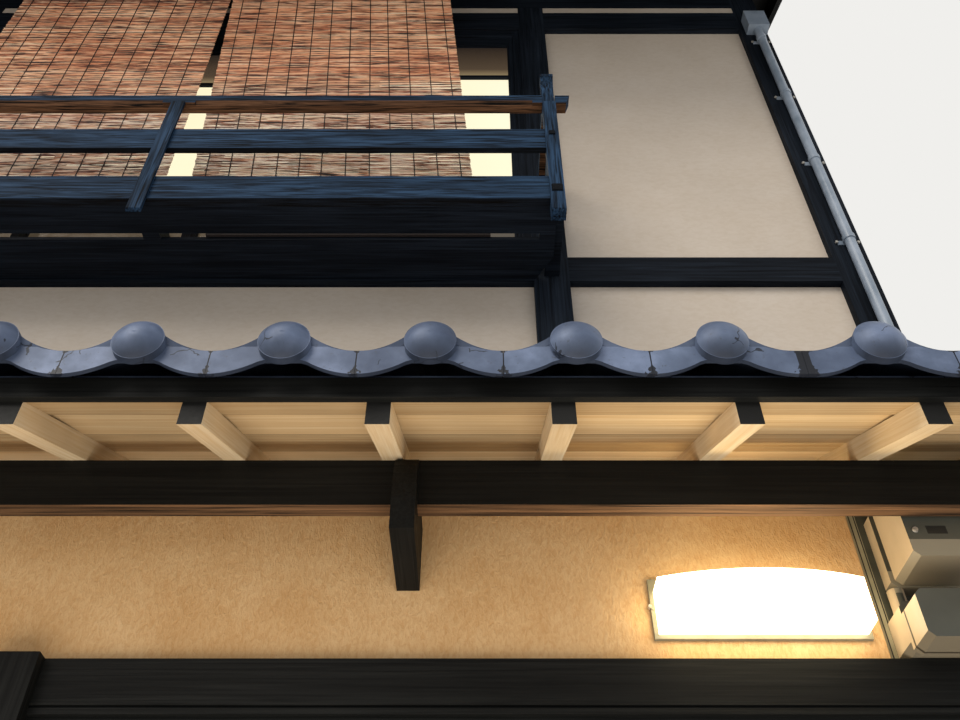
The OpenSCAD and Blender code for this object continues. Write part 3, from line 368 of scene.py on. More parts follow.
def smoked_tile(name, low_z, high_z, streaks):
    """Smoke-fired clay tile; the joints run dark between two heights by the amount of streaks."""
    material, tree, shader, place = new_finish(name, Metallic=0.1, Specular_IOR_Level=0.25)
    patches = add(tree, NOISE, {"Vector": place, "Scale": 7.0, "Detail": 5.0, "Roughness": 0.6})
    # the blue in this grey is painted sky light on the silver-grey skin
    colour = add(tree, RAMP, (patches,), stops=((0.28, "#444f65"), (0.5, "#5d6a82"), (0.72, "#808eaa")))
    x, y, z = add(tree, AXES, (place,), None).outputs
    count = roll_count(tree, x)
    # a shade of its own for each tile
    row = add(tree, MATH, (y, SHADE_ROW), operation="DIVIDE")
    row = add(tree, MATH, (row,), operation="FLOOR")
    row = add(tree, MATH, (row, 7.3), operation="MULTIPLY")
    each = add(tree, MATH, (count, 0.5), operation="ADD")
    each = add(tree, MATH, (each,), operation="FLOOR")
    each = add(tree, MATH, (each, row), operation="ADD")
    shade = add(tree, "ShaderNodeTexWhiteNoise", {"W": each}, "Value", noise_dimensions="1D")
    colour = shaded(tree, colour, shade, (0.0, "#cdd0d6"), (1.0, "#ffffff"))
    # dark runs from the joint in the middle of each hollow, widest at the lower edge
    off = away(tree, add(tree, MATH, (count,), operation="FRACT"), 0.5)
    off = add(tree, MATH, (off, TILE_STEP), operation="MULTIPLY")
    foot = add(tree, RANGE, (z, low_z, low_z + FOOT_HEIGHT, 1.0, 0.0))
    foot = add(tree, MATH, (foot, FOOT_RUN), operation="MULTIPLY")
    brow = add(tree, RANGE, (z, high_z - BROW_HEIGHT, high_z))
    brow = add(tree, MATH, (brow, BROW_RUN), operation="MULTIPLY")
    spread = add(tree, MATH, (foot, brow), operation="ADD")
    ragged = add(tree, NOISE, {"Vector": place, "Scale": 130.0, "Detail": 3.0})
    ragged = add(tree, RANGE, (ragged, 0.35, 0.65))
    width = add(tree, MATH, (spread, ragged), operation="MULTIPLY")
    width = add(tree, MATH, (width, JOINT_RUN), operation="ADD")
    stain = add(tree, MATH, (off, width), operation="LESS_THAN")
    stain = add(tree, MATH, (stain, streaks), operation="MULTIPLY")
    colour = add(tree, MIX, {0: stain, 6: colour, 7: "#0d0f15"}, 2, data_type="RGBA")
    # soot specks and hairline cracks
    specks = add(tree, NOISE, {"Vector": place, "Scale": 95.0, "Detail": 4.0, "Roughness": 0.7})
    specks = add(tree, RANGE, (specks, 0.62, 0.7))
    specks = add(tree, MATH, (specks, 0.55), operation="MULTIPLY")
    colour = add(tree, MIX, {0: specks, 6: colour, 7: "#42464e"}, 2, data_type="RGBA")
    bent = add(tree, NOISE, {"Vector": place, "Scale": 35.0}, "Color")
    bent = add(tree, "ShaderNodeVectorMath", (bent, (0.03, 0.03, 0.03), place), operation="MULTIPLY_ADD")
    cracks = add(tree, "ShaderNodeTexVoronoi", {"Vector": bent, "Scale": 13.0}, "Distance",
                 feature="DISTANCE_TO_EDGE")
    hair = add(tree, MATH, (cracks, 0.012), operation="LESS_THAN")
    cracked = add(tree, NOISE, {"Vector": place, "Scale": 12.0, "Detail": 2.0})
    cracked = add(tree, MATH, (cracked, 0.58), operation="GREATER_THAN")
    hair = add(tree, MATH, (hair, cracked), operation="MULTIPLY")
    hair = add(tree, MATH, (hair, 0.85), operation="MULTIPLY")
    colour = add(tree, MIX, {0: hair, 6: colour, 7: "#14171d"}, 2, data_type="RGBA")
    # painted shade: the tiles darken on the sides that face down
    painted_shade_below = add(tree, RANGE, (facing(tree)[Z], -0.1, -0.7, 0.0, 0.8))
    colour = add(tree, MIX, {0: painted_shade_below, 6: colour, 7: "#141a26"}, 2, data_type="RGBA")
    grain = add(tree, NOISE, {"Vector": place, "Scale": 160.0, "Detail": 2.0})
    surface(tree, shader, colour, add(tree, RANGE, (patches, 0.3, 0.7, 0.52, 0.38)), grain, 0.0006, 0.25)
    return material


pent_clay = smoked_tile("smoked clay, pent roof", APRON_LOW, APRON_HIGH, 0.95)
# the main roof's joints keep one width, so its two heights lie below the ground
main_clay = smoked_tile("smoked clay, main roof", -1.0, -0.9, 0.4)
cover(pent_clay, "pent_eave_tiles", "pent_roof_tiles")
cover(main_clay, "ridge_tiles", "roof_tiles")

# The main roof is laid in courses with the same hollows and rolls, and the domed ends close its eaves.
ROLL_RADIUS = 0.0475
ROLL_EDGE = 0.8 * ROLL_RADIUS
ROLL_DROP = math.sqrt(ROLL_RADIUS ** 2 - ROLL_EDGE ** 2)
HOLLOW_DEPTH = 0.034
DOME_CAP, DOME_RIM, DOME_RAISE = 0.023, 0.016, 0.013
DOMES = 17
SET, JOIN, LINE = "GeometryNodeSetPosition", "GeometryNodeJoinGeometry", "GeometryNodeMeshLine"
ON_POINTS, REALIZE = "GeometryNodeInstanceOnPoints", "GeometryNodeRealizeInstances"


def new_maker(name, numbers, counts=(), finishes=("Finish",), points=False):
    """Geometry Nodes tree with named inputs; gives the tree, the inputs' identifiers and their sockets."""
    tree = bpy.data.node_groups.new(name, "GeometryNodeTree")
    if points:
        tree.interface.new_socket("Points", in_out="INPUT", socket_type="NodeSocketGeometry")
    names = {}
    for kind, keys in (("Float", numbers), ("Int", counts), ("Material", finishes)):
        for key in keys:
            made = tree.interface.new_socket(key, in_out="INPUT", socket_type="NodeSocket" + kind)
            names[key] = made.identifier
    tree.interface.new_socket("Made", in_out="OUTPUT", socket_type="NodeSocketGeometry")
    return tree, names, add(tree, "NodeGroupInput", (), None).outputs


def position(tree):
    """Axes of the place of each point."""
    return add(tree, AXES, (add(tree, "GeometryNodeInputPosition"),), None).outputs


def thickened(tree, sheet, offset):
    """Closed sheet between a surface and its copy, raised on the side that it faces."""
    raised = add(tree, "GeometryNodeExtrudeMesh", {"Mesh": sheet, "Offset": offset, "Offset Scale": 1.0,
                                                   "Individual": False}, "Mesh", mode="FACES")
    under = add(tree, "GeometryNodeFlipFaces", {"Mesh": sheet})
    both = add(tree, JOIN, ([raised, under],))
    return add(tree, "GeometryNodeMergeByDistance", {"Geometry": both, "Distance": 0.00005})


def scatter(tree, seed, salt, low, high):
    """Random number for each point or instance."""
    seed = add(tree, MATH, (seed, salt), operation="ADD")
    return add(tree, "FunctionNodeRandomValue", {2: low, 3: high, "Seed": seed}, 1, data_type="FLOAT")


def finished(tree, shape, finish, crease=0.7):
    """Ends a tree: plain mesh, smooth but for its edges, with its finish."""
    shape = add(tree, REALIZE, (shape,))
    shape = add(tree, "GeometryNodeSetShadeSmooth", {"Geometry": shape, "Shade Smooth": True})
    angle = add(tree, "GeometryNodeInputMeshEdgeAngle", give="Unsigned Angle")
    sharp = add(tree, MATH, (angle, crease), operation="GREATER_THAN")
    shape = add(tree, "GeometryNodeSetShadeSmooth",
                {"Geometry": shape, "Selection": sharp, "Shade Smooth": False}, domain="EDGE")
    shape = add(tree, "GeometryNodeSetMaterial", {"Geometry": shape, "Material": finish})
    add(tree, "NodeGroupOutput", (shape,), None)


def bake(name, tree, names, values, points=()):
    """Runs a Geometry Nodes tree with values for its named inputs, and gives a plain mesh object."""
    start = bpy.data.meshes.new(name + "_maker")
    start.from_pydata(points, [], [])
    maker = bpy.data.objects.new(name + "_maker", start)
    bpy.context.scene.collection.objects.link(maker)
    modifier = maker.modifiers.new("maker", "NODES")
    modifier.node_group = tree
    for key, value in values.items():
        modifier[names[key]] = value
    shown = maker.evaluated_get(bpy.context.evaluated_depsgraph_get())
    made = bpy.data.objects.new(name, bpy.data.meshes.new_from_object(shown))
    bpy.context.scene.collection.objects.link(made)
    bpy.data.objects.remove(maker)
    return made


def tile_rise(tree, x):
    """Height of a tile over the bottom of its hollow, and that of the hollow's curve alone."""
    count = roll_count(tree, x)
    off = away(tree, count, add(tree, MATH, (count,), operation="ROUND"))
    off = add(tree, MATH, (off, TILE_STEP), operation="MULTIPLY")
    along = add(tree, RANGE, (off, ROLL_EDGE, TILE_STEP / 2, 1.0, 0.0))
    pan = add(tree, MATH, (along, along), operation="MULTIPLY")
    pan = add(tree, MATH, (pan, HOLLOW_DEPTH), operation="MULTIPLY")
    round_z = add(tree, MATH, (off, off), operation="MULTIPLY")
    round_z = add(tree, MATH, (ROLL_RADIUS ** 2, round_z), operation="SUBTRACT")
    round_z = add(tree, MATH, (round_z, 0.0), operation="MAXIMUM")
    round_z = add(tree, MATH, (round_z,), operation="SQRT")
    roll = add(tree, MATH, (round_z, HOLLOW_DEPTH - ROLL_DROP), operation="ADD")
    on_roll = add(tree, MATH, (off, ROLL_EDGE), operation="LESS_THAN")
    on_pan = add(tree, MATH, (1.0, on_roll), operation="SUBTRACT")
    roll = add(tree, MATH, (roll, on_roll), operation="MULTIPLY")
    rise = add(tree, MATH, (roll, add(tree, MATH, (pan, on_pan), operation="MULTIPLY")), operation="ADD")
    return rise, pan


def grid(tree, width, columns, height=1.0):
    """Flat sheet, two points deep, centred across and starting at the front."""
    sheet = add(tree, "GeometryNodeMeshGrid", {"Size X": width, "Size Y": height, "Vertices X": columns,
                                               "Vertices Y": 2}, "Mesh")
    half = add(tree, MATH, (height, 0.5), operation="MULTIPLY")
    return add(tree, SET, {"Geometry": sheet, "Offset": add(tree, VECTOR, {Y: half})})


def tiled_slope():
    """Tree that lays the courses of both slopes on their bed, with domed tile ends along the eaves."""
    tree, names, given = new_maker(
        "tiled slopes", ("Half width", "Bed half width", "Course", "Lap", "Thickness", "Eave", "Bed end",
                         "Bed height", "Bed top", "Pitch", "Tile pitch", "Apron height",
                         "Apron thickness"), ("Courses", "Columns", "Seed"))
    width = add(tree, MATH, (given["Half width"], 2.0), operation="MULTIPLY")
    # one course, hollows and rolls side by side
    length = add(tree, MATH, (given["Course"], given["Lap"]), operation="ADD")
    sheet = grid(tree, width, given["Columns"], length)
    rise = tile_rise(tree, position(tree)[X])[0]
    sheet = add(tree, SET, {"Geometry": sheet, "Offset": add(tree, VECTOR, {Z: rise})})
    sheet = thickened(tree, sheet, add(tree, VECTOR, {Z: given["Thickness"]}))
    # courses up the slope, each a little out of true
    lap_rise = add(tree, MATH, (given["Pitch"], given["Tile pitch"]), operation="SUBTRACT")
    lap_rise = add(tree, MATH, (length, lap_rise), operation="MULTIPLY")
    eave_z = add(tree, MATH, (given["Pitch"], given["Eave"]), operation="MULTIPLY")
    eave_z = add(tree, MATH, (given["Bed top"], eave_z), operation="SUBTRACT")
    eave_z = add(tree, MATH, (eave_z, lap_rise), operation="ADD")
    eave_y = add(tree, MATH, (-HALF_DEPTH, given["Eave"]), operation="SUBTRACT")
    course_rise = add(tree, MATH, (given["Course"], given["Pitch"]), operation="MULTIPLY")
    line = add(tree, LINE, {"Count": given["Courses"],
                            "Start Location": add(tree, VECTOR, (0.0, eave_y, eave_z)),
                            "Offset": add(tree, VECTOR, (0.0, given["Course"], course_rise))}, mode="OFFSET")
    lift = scatter(tree, given["Seed"], 1, 0.0, 0.0015)
    line = add(tree, SET, {"Geometry": line, "Offset": add(tree, VECTOR, {Z: lift})})
    lean = add(tree, MATH, (given["Tile pitch"],), operation="ARCTANGENT")
    lean = add(tree, MATH, (lean, scatter(tree, given["Seed"], 2, -0.003, 0.002)), operation="ADD")
    laid = add(tree, ON_POINTS, {"Points": line, "Instance": sheet, "Rotation": add(tree, VECTOR, (lean,))})
    # apron along the eave
    pan_z = add(tree, MATH, (eave_z, given["Thickness"]), operation="ADD")
    x, y, z = position(tree)
    rise, pan = tile_rise(tree, x)
    low = add(tree, MATH, (pan, given["Apron height"]), operation="SUBTRACT")
    high = add(tree, MATH, (rise, 0.9), operation="MULTIPLY")
    up = add(tree, MATH, (high, low), operation="SUBTRACT")
    up = add(tree, MATH, (y, up), operation="MULTIPLY")
    up = add(tree, MATH, (up, low), operation="ADD")
    up = add(tree, MATH, (up, pan_z), operation="ADD")
    front = add(tree, MATH, (eave_y, given["Apron thickness"]), operation="ADD")
    front = add(tree, MATH, (front, y), operation="SUBTRACT")
    apron = add(tree, SET, {"Geometry": grid(tree, width, given["Columns"]),
                            "Offset": add(tree, VECTOR, (0.0, front, up))})
    forward = add(tree, MATH, (given["Apron thickness"], -1.0), operation="MULTIPLY")
    apron = thickened(tree, apron, add(tree, VECTOR, {Y: forward}))
    # domed ends: a ball flattened into a shallow cap on a short rim
    ball = add(tree, "GeometryNodeMeshUVSphere", {"Segments": 20, "Rings": 12, "Radius": ROLL_RADIUS})
    x, y, z = position(tree)
    spread = add(tree, MATH, (add(tree, MATH, (x, x), operation="MULTIPLY"),
                              add(tree, MATH, (y, y), operation="MULTIPLY")), operation="ADD")
    spread = add(tree, MATH, (spread, ROLL_RADIUS ** 2), operation="DIVIDE")
    cap = add(tree, MATH, (1.0, spread), operation="SUBTRACT")
    cap = add(tree, MATH, (cap, DOME_CAP), operation="MULTIPLY")
    cap = add(tree, MATH, (cap, DOME_RIM), operation="ADD")
    outer = add(tree, MATH, (z, -0.0001), operation="GREATER_THAN")
    flat = add(tree, MATH, (outer, cap), operation="MULTIPLY")
    flat = add(tree, MATH, (flat, z), operation="SUBTRACT")
    dome = add(tree, SET, {"Geometry": ball, "Offset": add(tree, VECTOR, {Z: flat})})
    dome_z = add(tree, MATH, (pan_z, DOME_RAISE), operation="ADD")
    start = add(tree, VECTOR, (TILE_SHIFT - DOMES // 2 * TILE_STEP, eave_y, dome_z))
    ends = add(tree, LINE, {"Count": DOMES, "Start Location": start, "Offset": (TILE_STEP, 0.0, 0.0)},
               mode="OFFSET")
    past = add(tree, MATH, (position(tree)[X], ODD_X), operation="GREATER_THAN")
    past = add(tree, MATH, (past, ODD_WIDTH), operation="MULTIPLY")
    ends = add(tree, SET, {"Geometry": ends, "Offset": add(tree, VECTOR, (past,))})
    domes = add(tree, ON_POINTS, {"Points": ends, "Instance": dome, "Rotation": (math.pi / 2, 0.0, 0.0)})
    # bed of clay under the courses
    run = add(tree, MATH, (given["Bed end"], HALF_DEPTH - 0.001), operation="ADD")
    bed_width = add(tree, MATH, (given["Bed half width"], 2.0), operation="MULTIPLY")
    bed_y = add(tree, MATH, (-HALF_DEPTH, given["Bed end"]), operation="SUBTRACT")
    bed_z = add(tree, MATH, (given["Bed top"], given["Bed height"]), operation="SUBTRACT")
    drop = add(tree, MATH, (given["Pitch"], given["Bed end"]), operation="MULTIPLY")
    bed_z = add(tree, MATH, (bed_z, drop), operation="SUBTRACT")
    climb = add(tree, MATH, (position(tree)[Y], given["Pitch"]), operation="MULTIPLY")
    bed_z = add(tree, MATH, (bed_z, climb), operation="ADD")
    bed = add(tree, SET, {"Geometry": grid(tree, bed_width, 2, run),
                          "Offset": add(tree, VECTOR, (0.0, bed_y, bed_z))})
    bed = thickened(tree, bed, add(tree, VECTOR, {Z: given["Bed height"]}))
    slope = add(tree, REALIZE, (add(tree, JOIN, ([laid, apron, domes, bed],)),))
    rear = add(tree, "GeometryNodeTransform", {"Geometry": slope, "Scale": (1.0, -1.0, 1.0)})
    rear = add(tree, "GeometryNodeFlipFaces", {"Mesh": rear})
    finished(tree, add(tree, JOIN, ([slope, rear],)), given["Finish"])
    return tree, names


main_tiles = bake("main_tiles", *tiled_slope(), {
    "Half width": 2.255, "Bed half width": 2.24, "Course": 0.213, "Lap": 0.05, "Thickness": 0.015,
    "Eave": 0.85, "Bed end": 0.815, "Bed height": 0.04, "Bed top": 5.576, "Pitch": PITCH, "Tile pitch": 0.416,
    "Apron height": 0.057, "Apron thickness": 0.009, "Courses": 21, "Columns": 240, "Seed": 3,
    "Finish": main_clay})
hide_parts("roof_tiles")
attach(main_tiles, "root")


# Upper window: plain panes in stained sashes, which glow with painted light for a lit room behind them. The
# tall lower panes glow warm and pale above a dado, and the low top panes show a dim brown ceiling.

MUNTIN_Z = 4.7855
TOP_PANE_Z = 5.03
DADO_Z = 3.9

lit_pane, tree, shader, place = new_finish("lit window pane", Roughness=0.12, Emission_Strength=1.0)
up = add(tree, AXES, (place,), Z)
room = add(tree, NOISE, {"Vector": place, "Scale": 1.3, "Detail": 2.0})
room = add(tree, RAMP, (room,), stops=((0.3, "#fff3cb"), (0.7, "#fff9dc")))
# the room is painted on the glass: a dim dado low down, and a ceiling that darkens towards the top
dado = add(tree, RANGE, (up, DADO_Z, DADO_Z - 0.03))
room = add(tree, MIX, {0: dado, 6: room, 7: "#463d30"}, 2, data_type="RGBA")
ceiling = add(tree, RAMP, (add(tree, RANGE, (up, MUNTIN_Z, TOP_PANE_Z)),),
              stops=((0.0, "#9a8a67"), (0.22, "#6b5b45"), (0.3, "#4f4234"), (1.0, "#2b231d")))
top_pane = add(tree, MATH, (up, MUNTIN_Z), operation="GREATER_THAN")
glow = add(tree, MIX, {0: top_pane, 6: room, 7: ceiling}, 2, data_type="RGBA")
glass = add(tree, MIX, {0: 1.0, 6: glow, 7: "#6b6b6b"}, 2, data_type="RGBA", blend_type="MULTIPLY")
surface(tree, shader, glass)
tree.links.new(glow, shader.inputs["Emission Color"])
cover(lit_pane, "window_glass")

dim_pane, tree, shader, place = new_finish("frosted pane, unlit", Roughness=0.35)
frost = add(tree, NOISE, {"Vector": place, "Scale": 3.0, "Detail": 3.0})
ripple = add(tree, NOISE, {"Vector": place, "Scale": 240.0, "Detail": 1.0})
surface(tree, shader, add(tree, RAMP, (frost,), stops=((0.3, "#8d8f86"), (0.7, "#a9aba0"))), None, ripple,
        0.0004, 0.4)
cover(dim_pane, "ground_glass", "rear_glass")


# Reed blinds: peeled reeds laid one over another and bound with twisted dark cord every 71 mm, with a
# flat lath at the foot. They hang from the eaves, and the right-hand one has swung out of plumb.

REED = 0.0038
REED_STEP = 0.0055
REED_POINTS = 23
CORD_STEP = 0.071
CORD = 0.0016
LATH_HEIGHT, LATH_DEPTH = 0.026, 0.008
LATH_SHORT, LATH_SLID = 0.05, 0.055
FOOT = 0.024
REFERENCE_Z = 5.064

reed_skin, tree, shader, place = new_finish("peeled reed", Roughness=0.5)
tone = add(tree, "ShaderNodeAttribute", give="Fac", attribute_name="tone")
stretch = add(tree, "ShaderNodeMapping", {"Vector": place, "Scale": (0.06, 1.0, 1.0)})
fleck = add(tree, NOISE, {"Vector": stretch, "Scale": 165.0, "Detail": 3.0, "Roughness": 0.6})
patch = add(tree, NOISE, {"Vector": place, "Scale": 4.0, "Detail": 2.0})
colour = add(tree, RAMP, (tone,),
             stops=((0.0, "#582f20"), (0.25, "#b96f4e"), (0.6, "#f4ac7d"), (1.0, "#ffe8c8")))
# dark flecks: the reeds' own streaks, and painted shade in the gaps between reeds; pale flecks: painted
# highlights
colour = shaded(tree, colour, fleck, (0.38, "#2d1912"), (0.5, "#ffffff"))
painted_highlight = add(tree, RANGE, (fleck, 0.54, 0.62))
colour = add(tree, MIX, {0: painted_highlight, 6: colour, 7: "#f8cda6"}, 2, data_type="RGBA")
# painted light: pale flecks towards the foot stand for the lit window seen between the reeds
towards_foot = add(tree, RANGE, (add(tree, AXES, (place,), Z), 4.45, 4.1))
painted_window_light = add(tree, RANGE, (fleck, 0.49, 0.54))
painted_window_light = add(tree, MATH, (painted_window_light, towards_foot), operation="MULTIPLY")
colour = add(tree, MIX, {0: painted_window_light, 6: colour, 7: "#fff2e0"}, 2, data_type="RGBA")
colour = shaded(tree, colour, patch, (0.3, "#e4cfc4"), (0.7, "#ffffff"))
surface(tree, shader, colour)

dark_cord, tree, shader, place = new_finish("twisted cord, dark", Roughness=0.85)
twist = add(tree, NOISE, {"Vector": place, "Scale": 400.0, "Detail": 2.0})
surface(tree, shader, add(tree, RAMP, (twist,), stops=((0.3, "#17100d"), (0.7, "#2f211b"))))


def blind_tree():
    """Tree that lays the reeds of a blind and ties them; gives the tree and its inputs' identifiers."""
    tree, names, given = new_maker("reed blind", ("Left", "Right", "Bottom", "Top", "Front", "Lean"),
                                   ("Seed",), ("Reed finish", "Cord finish"))
    seed = given["Seed"]
    height = add(tree, MATH, (given["Top"], given["Bottom"]), operation="SUBTRACT")
    width = add(tree, MATH, (given["Right"], given["Left"]), operation="SUBTRACT")
    half = add(tree, MATH, (width, 0.5), operation="MULTIPLY")
    middle = add(tree, MATH, (given["Left"], given["Right"]), operation="ADD")
    middle = add(tree, MATH, (middle, 0.5), operation="MULTIPLY")
    # reeds, one above another
    rows = add(tree, MATH, (height, REED_STEP), operation="DIVIDE")
    rows = add(tree, MATH, (rows,), operation="FLOOR")
    start = add(tree, VECTOR, (middle, given["Front"], given["Bottom"]))
    stack = add(tree, LINE, {"Count": rows, "Start Location": start, "Offset": (0.0, 0.0, REED_STEP)},
                mode="OFFSET")
    left = add(tree, MATH, (half, -1.0), operation="MULTIPLY")
    axis = add(tree, "GeometryNodeCurvePrimitiveLine", {"Start": add(tree, VECTOR, (left,)),
                                                        "End": add(tree, VECTOR, (half,))})
    axis = add(tree, "GeometryNodeResampleCurve", {"Curve": axis, "Count": REED_POINTS})
    section = add(tree, "GeometryNodeCurvePrimitiveCircle", {"Resolution": 5, "Radius": REED / 2},
                  mode="RADIUS")
    reed = add(tree, "GeometryNodeCurveToMesh", {"Curve": axis, "Profile Curve": section, "Fill Caps": True})
    thick = scatter(tree, seed, 1, 0.72, 1.2)
    size = add(tree, VECTOR, (scatter(tree, seed, 2, 0.994, 1.0), thick, thick))
    turn = add(tree, VECTOR, (scatter(tree, seed, 3, 0.0, 1.0), scatter(tree, seed, 4, -0.002, 0.002),
                              scatter(tree, seed, 5, -0.002, 0.002)))
    reeds = add(tree, ON_POINTS, {"Points": stack, "Instance": reed, "Rotation": turn, "Scale": size})
    reeds = add(tree, "GeometryNodeStoreNamedAttribute",
                {"Geometry": reeds, "Name": "tone", "Value": scatter(tree, seed, 6, 0.0, 1.0)},
                data_type="FLOAT", domain="INSTANCE")
    reeds = add(tree, REALIZE, (reeds,))
    # each reed bows between its ties in its own way
    way = add(tree, "ShaderNodeVectorMath", (add(tree, "GeometryNodeInputPosition"), (14.0, 1.0, 95.0)),
              operation="MULTIPLY")
    bends = []
    for scale, detail, most in ((0.7, 0.0, 0.004), (1.0, 1.0, 0.008)):
        bend = add(tree, NOISE, {"Vector": way, "Scale": scale, "Detail": detail})
        bend = add(tree, MATH, (bend, 0.5), operation="SUBTRACT")
        bends.append(add(tree, MATH, (bend, most), operation="MULTIPLY"))
    reeds = add(tree, SET, {"Geometry": reeds, "Offset": add(tree, VECTOR, (0.0, *bends))})
    reeds = add(tree, "GeometryNodeSetShadeSmooth", {"Geometry": reeds, "Shade Smooth": True})
    reeds = add(tree, "GeometryNodeSetMaterial", {"Geometry": reeds, "Material": given["Reed finish"]})
    # cords, in front of and behind each reed by turns
    strands = []
    for side in (-1, 1):
        points = add(tree, LINE, {"Count": add(tree, MATH, (rows, 2.0), operation="MULTIPLY"),
                                  "Start Location": add(tree, VECTOR, (given["Left"], given["Front"],
                                                                       given["Bottom"])),
                                  "Offset": (0.0, 0.0, REED_STEP / 2)}, mode="OFFSET")
        odd = add(tree, MATH, (add(tree, "GeometryNodeInputIndex"), 2.0), operation="MODULO")
        sway = add(tree, MATH, (odd, 0.6), operation="MULTIPLY")
        sway = add(tree, MATH, (1.0, sway), operation="SUBTRACT")
        sway = add(tree, MATH, (sway, side * (REED / 2 + CORD / 2)), operation="MULTIPLY")
        path = add(tree, SET, {"Geometry": points, "Offset": add(tree, VECTOR, {Y: sway})})
        path = add(tree, "GeometryNodeMeshToCurve", {"Mesh": path})
        ring = add(tree, "GeometryNodeCurvePrimitiveCircle", {"Resolution": 4, "Radius": CORD}, mode="RADIUS")
        strands.append(add(tree, "GeometryNodeCurveToMesh", {"Curve": path, "Profile Curve": ring,
                                                             "Fill Caps": True}))
    count = add(tree, MATH, (width, CORD_STEP), operation="DIVIDE")
    count = add(tree, MATH, (count,), operation="FLOOR")
    ties = add(tree, LINE, {"Count": count, "Start Location": (CORD_STEP * 0.6, 0.0, 0.0),
                            "Offset": (CORD_STEP, 0.0, 0.0)}, mode="OFFSET")
    uneven = add(tree, VECTOR, (scatter(tree, seed, 7, -0.004, 0.004),))
    ties = add(tree, SET, {"Geometry": ties, "Offset": uneven})
    cords = add(tree, ON_POINTS, {"Points": ties, "Instance": add(tree, JOIN, (strands,))})
    cords = add(tree, REALIZE, (cords,))
    # lath along the foot, slid a little to one side
    lath_width = add(tree, MATH, (width, LATH_SHORT), operation="SUBTRACT")
    lath = add(tree, "GeometryNodeMeshCube",
               {"Size": add(tree, VECTOR, (lath_width, LATH_DEPTH, LATH_HEIGHT))})
    lath_x = add(tree, MATH, (middle, LATH_SLID), operation="ADD")
    lath_z = add(tree, MATH, (given["Bottom"], -0.001 - LATH_HEIGHT / 2), operation="ADD")
    lath = add(tree, SET, {"Geometry": lath, "Offset": add(tree, VECTOR, (lath_x, given["Front"], lath_z))})
    dark = [add(tree, "GeometryNodeSetMaterial", {"Geometry": shape, "Material": given["Cord finish"]})
            for shape in (cords, lath)]
    # the whole blind leans to one side as it hangs
    both = add(tree, JOIN, ([reeds, *dark],))
    drop = add(tree, MATH, (REFERENCE_Z, position(tree)[Z]), operation="SUBTRACT")
    drop = add(tree, MATH, (drop, given["Lean"]), operation="MULTIPLY")
    hung = add(tree, SET, {"Geometry": both, "Offset": add(tree, VECTOR, (drop,))})
    add(tree, "NodeGroupOutput", (hung,), None)
    return tree, names


blind_maker = blind_tree()
for seed, node, left, right, lean in ((11, "left_blind", -0.876, -0.058, 0.0216),
                                      (12, "right_blind", -0.046, 0.811, 0.078)):
    low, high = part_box(node)
    blind = bake(node + "_reeds", *blind_maker, {
        "Left": left, "Right": right, "Lean": lean, "Bottom": low.z + FOOT, "Top": high.z - 0.005,
        "Front": (low.y + high.y) / 2 - 0.0008, "Seed": seed, "Reed finish": reed_skin,
        "Cord finish": dark_cord})
    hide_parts(node)
    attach(blind, "root")


# Fastenings: square wooden pegs that lock the tenons, round-headed zinc-plated screws in the conduit's
# saddles, and round iron pulls on the doors. Each is driven into its face and stands a little proud.

PEG_X = 1.1375
CONDUIT_X = 2.05
SADDLE_REACH = 0.0335
SADDLE_Z, SADDLE_STEP, SADDLES = 3.742, 0.423, 4
PULL_Z = 0.98

steel, tree, shader, place = new_finish("dull zinc steel", Metallic=0.7, Roughness=0.45)
spangle = add(tree, NOISE, {"Vector": place, "Scale": 300.0, "Detail": 3.0})
surface(tree, shader, add(tree, RAMP, (spangle,), stops=((0.3, "#8f8b84"), (0.7, "#bdb9b0"))))
iron, tree, shader, place = new_finish("blackened iron", Metallic=0.6, Roughness=0.5)
scale_marks = add(tree, NOISE, {"Vector": place, "Scale": 90.0, "Detail": 3.0})
surface(tree, shader, add(tree, RAMP, (scale_marks,), stops=((0.3, "#1c1b1a"), (0.7, "#2f2d2a"))))
peg_wood = timber("stained peg", Y, "#10151c", "#07090c", 0.003, 0.6, 0.0004, shine=0.05)


def fastener_tree():
    """Tree that sets a low round or square head on each point, turned to its face."""
    tree, names, given = new_maker("fasteners", ("Radius", "Height", "Turn"), ("Sides",), points=True)
    top = add(tree, MATH, (given["Radius"], 0.82), operation="MULTIPLY")
    head = add(tree, "GeometryNodeMeshCone", {"Vertices": given["Sides"], "Side Segments": 1,
                                              "Radius Top": top, "Radius Bottom": given["Radius"],
                                              "Depth": given["Height"]})
    head = add(tree, "GeometryNodeTransform", {"Geometry": head, "Rotation": (0.0, 0.0, math.pi / 4)})
    set_in = add(tree, ON_POINTS, {"Points": given["Points"], "Instance": head,
                                   "Rotation": add(tree, VECTOR, (given["Turn"],))})
    finished(tree, set_in, given["Finish"], 0.5)
    return tree, names


fastener_maker = fastener_tree()


def fasten(name, finish, sides, radius, height, places):
    """Sets heads on places whose faces look to the street."""
    made = bake(name, *fastener_maker, {"Radius": radius, "Height": height, "Turn": math.pi / 2,
                                        "Sides": sides, "Finish": finish}, places)
    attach(made, "root")


for name, radius, z in (("lower_pegs", 0.022, 3.612), ("upper_pegs", 0.013, 3.884)):
    fasten(name, peg_wood, 4, radius, 0.004, [(x, out(0.3005), z) for x in (-PEG_X, PEG_X)])
fasten("saddle_screws", steel, 12, 0.0055, 0.004,
       [(CONDUIT_X + side * SADDLE_REACH, out(0.0045), SADDLE_Z + i * SADDLE_STEP)
        for side in (-1, 1) for i in range(SADDLES)])
fasten("door_pulls", iron, 20, 0.015, 0.004,
       [(0.129, out(0.0765), PULL_Z), (1.937, out(0.0405), PULL_Z)])


# Conduit: steel tube painted blue-grey, held to the corner post by pressed saddles. The paint is
# smooth, with a thin film of dust that dulls it in patches.

